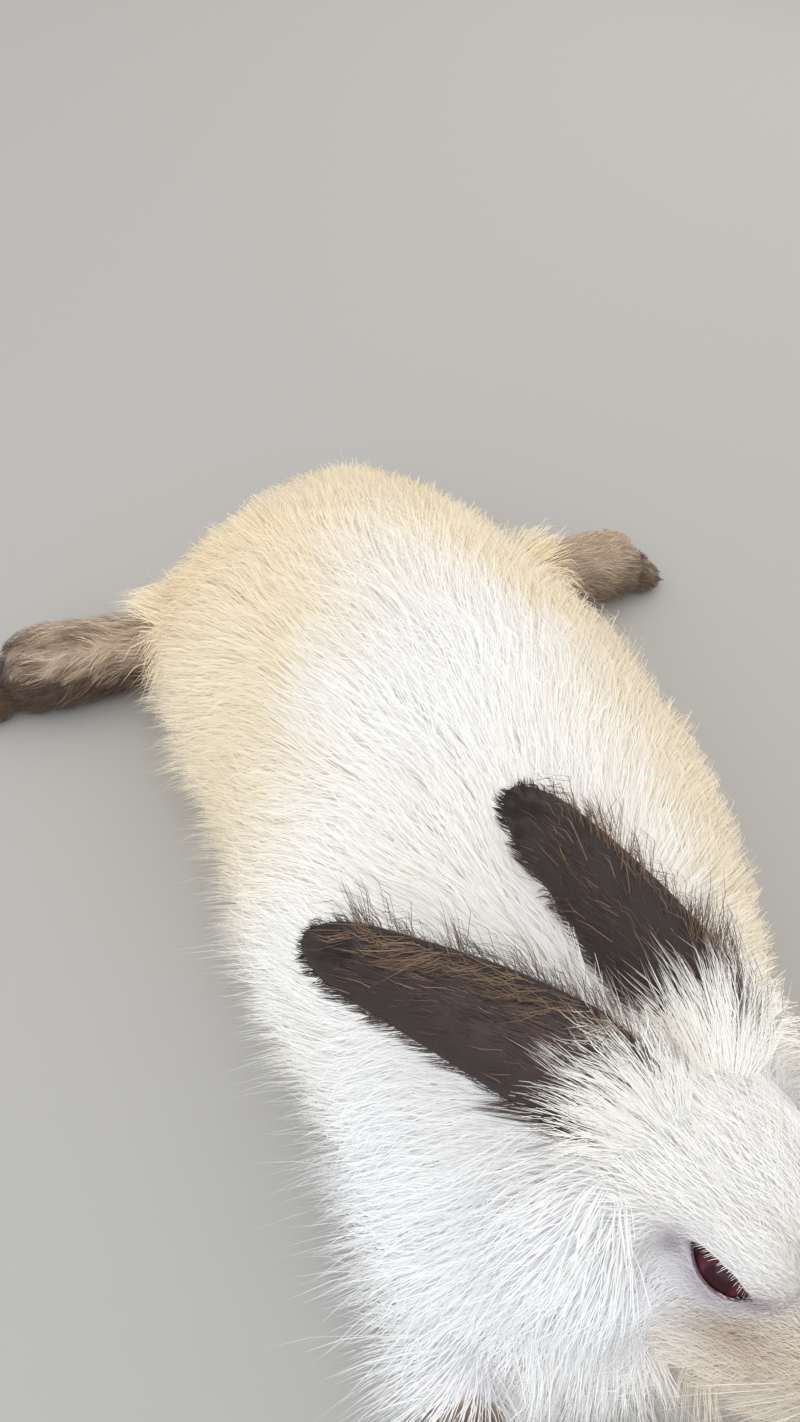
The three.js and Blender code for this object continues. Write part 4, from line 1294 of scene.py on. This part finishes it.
def earTuft(side, wispy, draw):
    share = 0.05 + 0.93 * draw.random() ** 1.15
    part = draw.uniform(-1, 1)
    edge = abs(part)
    inside = draw.random() < 0.5
    if inside and edge < 0.75 and share > 0.30 and draw.random() < 0.25:
        return None         # thinner in the cup
    face = 1 if inside else -1
    point, forward, across, facing = earPoint(side, share, part)
    onWispy = part * wispy > 0

    def scattered(lie, loose):
        return (lie + Vector(draw.normal(0, loose, 3))).normalized()

    sweep = 0.18 + (0.45 if onWispy else 0.22) * edge
    lie = scattered(forward + across * part * sweep, earHair["loose"])
    shade = draw.random()
    shortest, more, high = earHair["plain"]
    length = shortest + more * draw.random()
    tint = mixedOne(colours["pointDark"], colours["point"] * 1.15, shade)
    if inside:
        tint = colours["pointDark"] * 0.65 + colours["earPink"] * 0.30
        tint = tint * (0.70 + 0.85 * shade)
        length *= earHair["inside"]
        high = earHair["fallen"][2]
        if onWispy and edge > 0.15 and share > 0.36:    # brown hair that falls into the cup
            shortest, more, high = earHair["fallen"]
            length = shortest + more * draw.random()
            lie = scattered(forward - across * part * 0.5, earHair["looseFallen"])
            tint = mixedOne(colours["pointDark"], colours["streak"], 0.75 * shade ** 1.6)
    height = length * high
    if share > 0.86:
        tint = colours["earTip"] * (0.8 + 0.4 * shade)
        length *= earHair["tip"]
    if (edge > 0.62 and onWispy or draw.random() < 0.05) and 0.12 < share < 0.90:
        shortest, more, high = earHair["wisp"]
        length = (shortest + more * draw.random() ** 2.2) * (1 - 0.2 * share)
        height = length * high
        lie = scattered(lie, earHair["looseWisp"])
        tint = mixedOne(colours["point"], colours["streak"], 0.9 * shade ** 1.3)
    base = smoothOne(0.46, 0.12, share)
    if draw.random() < base:
        shortest, more, high = earHair["base"]
        length = shortest + more * draw.random()
        height = length * high
        tint = mixedOne(colours["greyHair"], colours["crown"], 1.9 * base + 0.7 * shade - 0.35)
    root = point + facing * face * ears["thickness"] / 2 * (1 - 0.4 * edge)
    normal = (facing * face + across * part * 0.6 * edge).normalized()
    spot = (0.02 + 0.46 * (part + 1) / 2 + (0.5 if inside else 0), share)
    return root, normal, lie, length, height, tint, spot


def growEars():
    draw = np.random.default_rng(23)
    made = []
    shape = coat["short"]
    for side, wispy in (("right", 1), ("left", -1)):
        count = coat["ears"]["tufts"] // 2
        tufts = []
        while len(tufts) < count:
            tuft = earTuft(side, wispy, draw)
            if tuft:
                tufts.append(tuft)
        root, normal, lie, length, height, tints, spots = (np.array(column)
                                                           for column in zip(*tufts))
        length, height = length[:, None], height[:, None]
        paths = []
        for share in shape["shares"]:
            rise = height * (1 - (1 - share) ** 1.6) - earHair["sink"] * (1 - share) ** 3
            drop = np.array([0, 0, -1]) * earHair["drop"] * length * share ** 2
            paths.append(root + lie * length * share + normal * rise + drop)
        clump = np.full(count, coat["ears"]["clump"])
        paths = gathered(np.stack(paths, axis=1), shape["shares"], clump, draw)
        widths = coat["ears"]["width"] * (1 + 0.2 * draw.normal(0, 1, count))
        made.append(tuftMesh("hair_ear_" + side, shape, paths, normal,
                             np.clip(widths, *earHair["widths"]),
                             np.clip(tints, *earHair["tintRange"]), spots, draw))
    print("hair grown on the ears")
    return made


# Whiskers in rows on the lip pads, and lashes along the upper lid
whiskers = {"rows": 4, "inRow": 4, "length": 0.040, "width": 0.00024, "droop": 0.18}
lashes = {"count": 30, "length": 0.0054, "width": 0.00017, "droop": 0.5}


def growWhiskers(skin):
    draw = np.random.default_rng(31)
    surface = Skin(skin)
    strands = []            # start, heading, length, width, droop
    for mirror in (-1, 1):
        for row in range(whiskers["rows"]):
            for number in range(whiskers["inRow"]):
                place = Vector((mirror * 0.016, 0.081 - 0.0042 * number, 0.0335 + 0.0036 * row))
                heading = Vector((mirror, -0.20 - 0.22 * number, 0.20 - 0.16 * (3 - row)))
                heading = heading + Vector(draw.normal(0, 0.08, 3))
                length = whiskers["length"] * (0.55 + 0.45 * draw.random()) * (0.7 + 0.12 * number)
                strands.append((headFrame() @ place, (headFrame().to_3x3() @ heading).normalized(),
                                length, whiskers["width"], whiskers["droop"]))
        for number in range(lashes["count"]):
            share = (number + 0.5) / lashes["count"] * 2 - 1
            along = eye["halfLength"] * 0.92 * share
            up = eye["upper"] * (1 - share ** 2) + 0.0006
            reach = eye["radius"] + eye["lid"]
            depth = math.sqrt(max(reach ** 2 - along ** 2 - up ** 2, 1e-6))
            heading = Vector((1.0, 0.5 * share - 0.25, 0.25)) + Vector(draw.normal(0, 0.10, 3))
            length = lashes["length"] * (0.6 + 0.6 * draw.random())
            strands.append((eyeFrame(mirror) @ Vector((depth, along, up)),
                            (eyeFrame(mirror).to_3x3() @ heading).normalized(),
                            length, lashes["width"], lashes["droop"]))
    starts, headings, lengths, widths, droops = (np.array(column) for column in zip(*strands))
    spots, normals = surface.nearest(starts)
    lengths, droops = lengths[:, None], droops[:, None]
    shape = coat["long"]
    paths = [spots - normals * 0.0008 * (share == 0) + headings * lengths * share
             + np.array([0, 0, -1]) * droops * lengths * share ** 2 for share in shape["shares"]]
    tints = np.tile(colours["white"], (len(spots), 1))
    print("whiskers and lashes grown", len(spots))
    return tuftMesh("whiskers", shape, np.stack(paths, axis=1), normals, widths, tints,
                    spotsOnHead(spots), draw)


def mixedOne(start, end, weight):
    weight = min(1, max(0, weight))
    return start * (1 - weight) + end * weight


def smoothOne(start, end, value):
    return float(smooth(start, end, np.array([value]))[0])


def markSkin(piece):
    points = verticesOf(piece)
    tint = np.ones((len(points), 4))
    tint[:, :3] = np.clip(markings(points, partsOf(points)), *coat["tintRange"])
    paint(piece.data, tint)


def markEar(piece, side):
    points = verticesOf(piece)
    cup = Vector(ears[side]["cup"])
    shares = np.linspace(0, 1, 48)
    line = np.array([curveAt(ears[side]["line"], share)[0][:] for share in shares])
    tint = np.ones((len(points), 4))
    for index, vertex in enumerate(piece.data.vertices):
        gap = np.linalg.norm(line - points[index], axis=1)
        share = shares[np.argmin(gap)]
        colour = colours["pointDark"] * 1.1
        if vertex.normal.dot(cup) > 0.1:
            middle = blob((gap.min(), 0.009), (share - 0.42, 0.25))
            colour = colour * (1 - middle) + colours["earPink"] * middle
        tint[index, :3] = mixedOne(colour, colours["white"], smoothOne(0.30, 0.14, share))
    paint(piece.data, tint)


def newMaterial(name, values):
    material = bpy.data.materials.new(name)
    material.use_nodes = True
    shader = material.node_tree.nodes["Principled BSDF"]
    for key, value in values.items():
        shader.inputs[key].default_value = value
    return material, material.node_tree, shader


def node(tree, kind, **values):
    made = tree.nodes.new(kind)
    for key, value in values.items():
        if key in made.inputs:
            made.inputs[key].default_value = value
        else:
            setattr(made, key, value)
    return made


def rangeNode(tree, low, high, until=1.0):
    return node(tree, "ShaderNodeMapRange", **{"From Max": until, "To Min": low, "To Max": high})


def wire(tree, *links):     # a node and its output, a node and its input
    for source, output, target, entry in links:
        tree.links.new(source.outputs[output], target.inputs[entry])


# Hair takes its marking, is a little darker at the root as painted shade deep in the coat, and
# glows faintly in its own colour, a painted glow that lifts the shade between the tufts
def hairMaterial(name, root, roughness, sheen, paintedGlow):
    material, tree, shader = newMaterial(name, {
        "Roughness": roughness, "Sheen Weight": sheen, "Sheen Roughness": 0.45,
        "Specular IOR Level": 0.16, "Emission Strength": paintedGlow})
    marking = node(tree, "ShaderNodeAttribute", attribute_name="marking")
    along = node(tree, "ShaderNodeAttribute", attribute_name="alongTuft")
    place = node(tree, "ShaderNodeTexCoord")
    grain = node(tree, "ShaderNodeTexNoise", Scale=420.0, Detail=3.0)
    # painted shade: each tuft darker towards its root
    ramp = rangeNode(tree, root, 1.0, until=0.8)
    spread = rangeNode(tree, 0.94, 1.05)
    product = node(tree, "ShaderNodeMath", operation="MULTIPLY")
    scale = node(tree, "ShaderNodeVectorMath", operation="SCALE")
    # the marking also feeds the emission: a painted glow in the hair's own colour
    wire(tree, (place, "Object", grain, "Vector"), (along, "Fac", ramp, "Value"),
         (grain, "Fac", spread, "Value"), (ramp, "Result", product, 0),
         (spread, "Result", product, 1), (marking, "Color", scale, 0),
         (product, "Value", scale, "Scale"), (scale, "Vector", shader, "Base Color"),
         (scale, "Vector", shader, "Emission Color"))
    return material


# Skin under the coat: the same markings, with short hair as fine bumps
def skinMaterial(name, roughness):
    material, tree, shader = newMaterial(name, {
        "Roughness": roughness, "Sheen Weight": 0.25, "Specular IOR Level": 0.2})
    marking = node(tree, "ShaderNodeAttribute", attribute_name="marking")
    place = node(tree, "ShaderNodeTexCoord")
    stretch = node(tree, "ShaderNodeMapping", Scale=(1.0, 0.35, 1.0))
    hairs = node(tree, "ShaderNodeTexNoise", Scale=1500.0, Detail=4.0, Roughness=0.6)
    shade = rangeNode(tree, 0.80, 1.08)
    scale = node(tree, "ShaderNodeVectorMath", operation="SCALE")
    bump = node(tree, "ShaderNodeBump", Strength=0.55, Distance=0.0005)
    wire(tree, (place, "Object", stretch, "Vector"), (stretch, "Vector", hairs, "Vector"),
         (hairs, "Fac", shade, "Value"), (marking, "Color", scale, 0),
         (shade, "Result", scale, "Scale"), (scale, "Vector", shader, "Base Color"),
         (hairs, "Fac", bump, "Height"), (bump, "Normal", shader, "Normal"))
    return material


def setRamp(ramp, stops):
    first, last = ramp.color_ramp.elements[0], ramp.color_ramp.elements[1]
    first.position, first.color = stops[0][0], (*stops[0][1], 1)
    last.position, last.color = stops[-1][0], (*stops[-1][1], 1)
    for position, colour in stops[1:-1]:
        ramp.color_ramp.elements.new(position).color = (*colour, 1)


# Eye: wine red round a dark pupil, paler at its rim
iris = (                    # place from the pupil's middle to the rim, colour
    (0.0, (0.034, 0.008, 0.013)), (0.36, (0.040, 0.009, 0.015)), (0.46, (0.100, 0.026, 0.036)),
    (0.66, (0.080, 0.017, 0.026)), (0.84, (0.030, 0.010, 0.014)), (0.999, (0.10, 0.055, 0.060)),
)


def eyeMaterial():
    material, tree, shader = newMaterial("eye_gloss", {
        "Roughness": 0.25, "Specular IOR Level": 0.12, "Coat Weight": 0.16,
        "Coat Roughness": 0.04})
    angle = node(tree, "ShaderNodeAttribute", attribute_name="fromPupil")
    ramp = node(tree, "ShaderNodeValToRGB")
    setRamp(ramp, iris)
    place = node(tree, "ShaderNodeTexCoord")
    fibres = node(tree, "ShaderNodeTexNoise", Scale=900.0, Detail=4.0)
    spread = rangeNode(tree, -0.06, 0.06)
    shifted = node(tree, "ShaderNodeMath", operation="ADD")
    wire(tree, (place, "Object", fibres, "Vector"), (fibres, "Fac", spread, "Value"),
         (angle, "Fac", shifted, 0), (spread, "Result", shifted, 1),
         (shifted, "Value", ramp, "Fac"), (ramp, "Color", shader, "Base Color"))
    return material


# A plain finish with a fine mottle, for lid rims and claws
def mottledMaterial(name, light, dark, scale, roughness, gloss):
    material, tree, shader = newMaterial(name, {"Roughness": roughness, "Coat Weight": gloss})
    place = node(tree, "ShaderNodeTexCoord")
    mottle = node(tree, "ShaderNodeTexNoise", Scale=scale, Detail=4.0)
    ramp = node(tree, "ShaderNodeValToRGB")
    setRamp(ramp, ((0.35, dark), (0.65, light)))
    bump = node(tree, "ShaderNodeBump", Strength=0.25, Distance=0.0002)
    wire(tree, (place, "Object", mottle, "Vector"), (mottle, "Fac", ramp, "Fac"),
         (ramp, "Color", shader, "Base Color"), (mottle, "Fac", bump, "Height"),
         (bump, "Normal", shader, "Normal"))
    return material


def finishPiece(piece, material, nodes=()):
    piece.data.materials.clear()
    piece.data.materials.append(material)
    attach(piece, "root")
    if nodes:
        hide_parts(*nodes)


studio = {
    "floor": (0.50, 0.485, 0.46),
    "world": ((0.96, 0.98, 1.0), 0.65),
    "lights": [             # name, place, size, watts, colour
        ("key", (-0.55, -0.20, 1.45), 2.4, 9.1, (1.0, 0.99, 0.97)),
        ("cool", (-0.95, -0.95, 0.60), 1.1, 6.2, (0.76, 0.88, 1.0)),
        ("warm", (0.75, 0.95, 0.95), 1.3, 5.4, (1.0, 0.93, 0.82)),
    ],
}


def makeStudio():
    clearSelection()
    bpy.ops.mesh.primitive_plane_add(size=60)
    floor = bpy.context.object
    floor.name = "floor"
    material, _, _ = newMaterial("pale_floor", {"Roughness": 0.7,
                                                "Base Color": (*studio["floor"], 1)})
    floor.data.materials.append(material)
    world = scene.world or bpy.data.worlds.new("studio")
    scene.world = world
    world.use_nodes = True
    background = world.node_tree.nodes["Background"]
    background.inputs["Color"].default_value = (*studio["world"][0], 1)
    background.inputs["Strength"].default_value = studio["world"][1]
    for name, place, size, watts, colour in studio["lights"]:
        lamp = bpy.data.lights.new(name, "AREA")
        lamp.size, lamp.energy, lamp.color = size, watts, colour
        holder = bpy.data.objects.new(name, lamp)
        holder.location = place
        holder.rotation_euler = (-Vector(place)).to_track_quat("-Z", "Y").to_euler()
        scene.collection.objects.link(holder)
    lens = bpy.data.cameras.new("view")
    lens.sensor_width, lens.lens = camera["sensor"], camera["lens"]
    lens.clip_start = 0.01
    holder = bpy.data.objects.new("view", lens)
    heading, down, roll = (math.radians(camera[key]) for key in ("heading", "down", "roll"))
    turned = (Matrix.Rotation(heading, 4, "Z") @ Matrix.Rotation(math.pi / 2 - down, 4, "X")
              @ Matrix.Rotation(roll, 4, "Z"))
    holder.matrix_world = Matrix.Translation(camera["place"]) @ turned
    scene.collection.objects.link(holder)
    scene.camera = holder
    scene.view_settings.view_transform = "Standard"


makeStudio()
skin = makeSkin()
markSkin(skin)
activate(skin)
bpy.ops.object.shade_smooth()
earSkins = {side: makeEar(side) for side in ("right", "left")}
for side, ear in earSkins.items():
    markEar(ear, side)
print("skin and ears made")

fleshNodes = [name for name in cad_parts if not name.startswith(("ear", "eye"))]
bodyMaterial = skinMaterial("skin_under_coat", 0.85)
finishPiece(skin, bodyMaterial, fleshNodes)
earMaterial = skinMaterial("ear_skin", 0.75)
for side, ear in earSkins.items():
    finishPiece(ear, earMaterial, ["ear_" + side])
gloss = eyeMaterial()
rimMaterial = mottledMaterial("lid_rim", colours["eyeRim"], colours["eyeRim"] * 0.6,
                              scale=900.0, roughness=0.45, gloss=0.3)
for mirror, side in ((1, "right"), (-1, "left")):
    finishPiece(makeEye(mirror, "eye_ball_" + side), gloss, ["eye_" + side])
    finishPiece(makeLidRim(mirror, "lid_rim_" + side), rimMaterial)
clawMaterial = mottledMaterial("claw_horn", linear(150, 128, 110), linear(92, 74, 62),
                               scale=700.0, roughness=0.35, gloss=0.4)
finishPiece(makeClaws(), clawMaterial)
print("eyes, lid rims and claws made")

# the first number darkens the hair's roots as painted shade, the last gives it a painted glow
coatMaterial = hairMaterial("long_coat", root=0.98, roughness=0.85, sheen=0.40, paintedGlow=0.32)
pointMaterial = hairMaterial("point_hair", root=0.96, roughness=0.75, sheen=0.22, paintedGlow=0.32)
footMaterial = hairMaterial("foot_hair", root=0.80, roughness=0.70, sheen=0.12, paintedGlow=0.10)
for piece in growCoat(skin):
    material = footMaterial if piece.name == "coat_feet" else coatMaterial
    finishPiece(piece, material)
for piece in growEars():
    finishPiece(piece, pointMaterial)
finishPiece(growWhiskers(skin), coatMaterial)
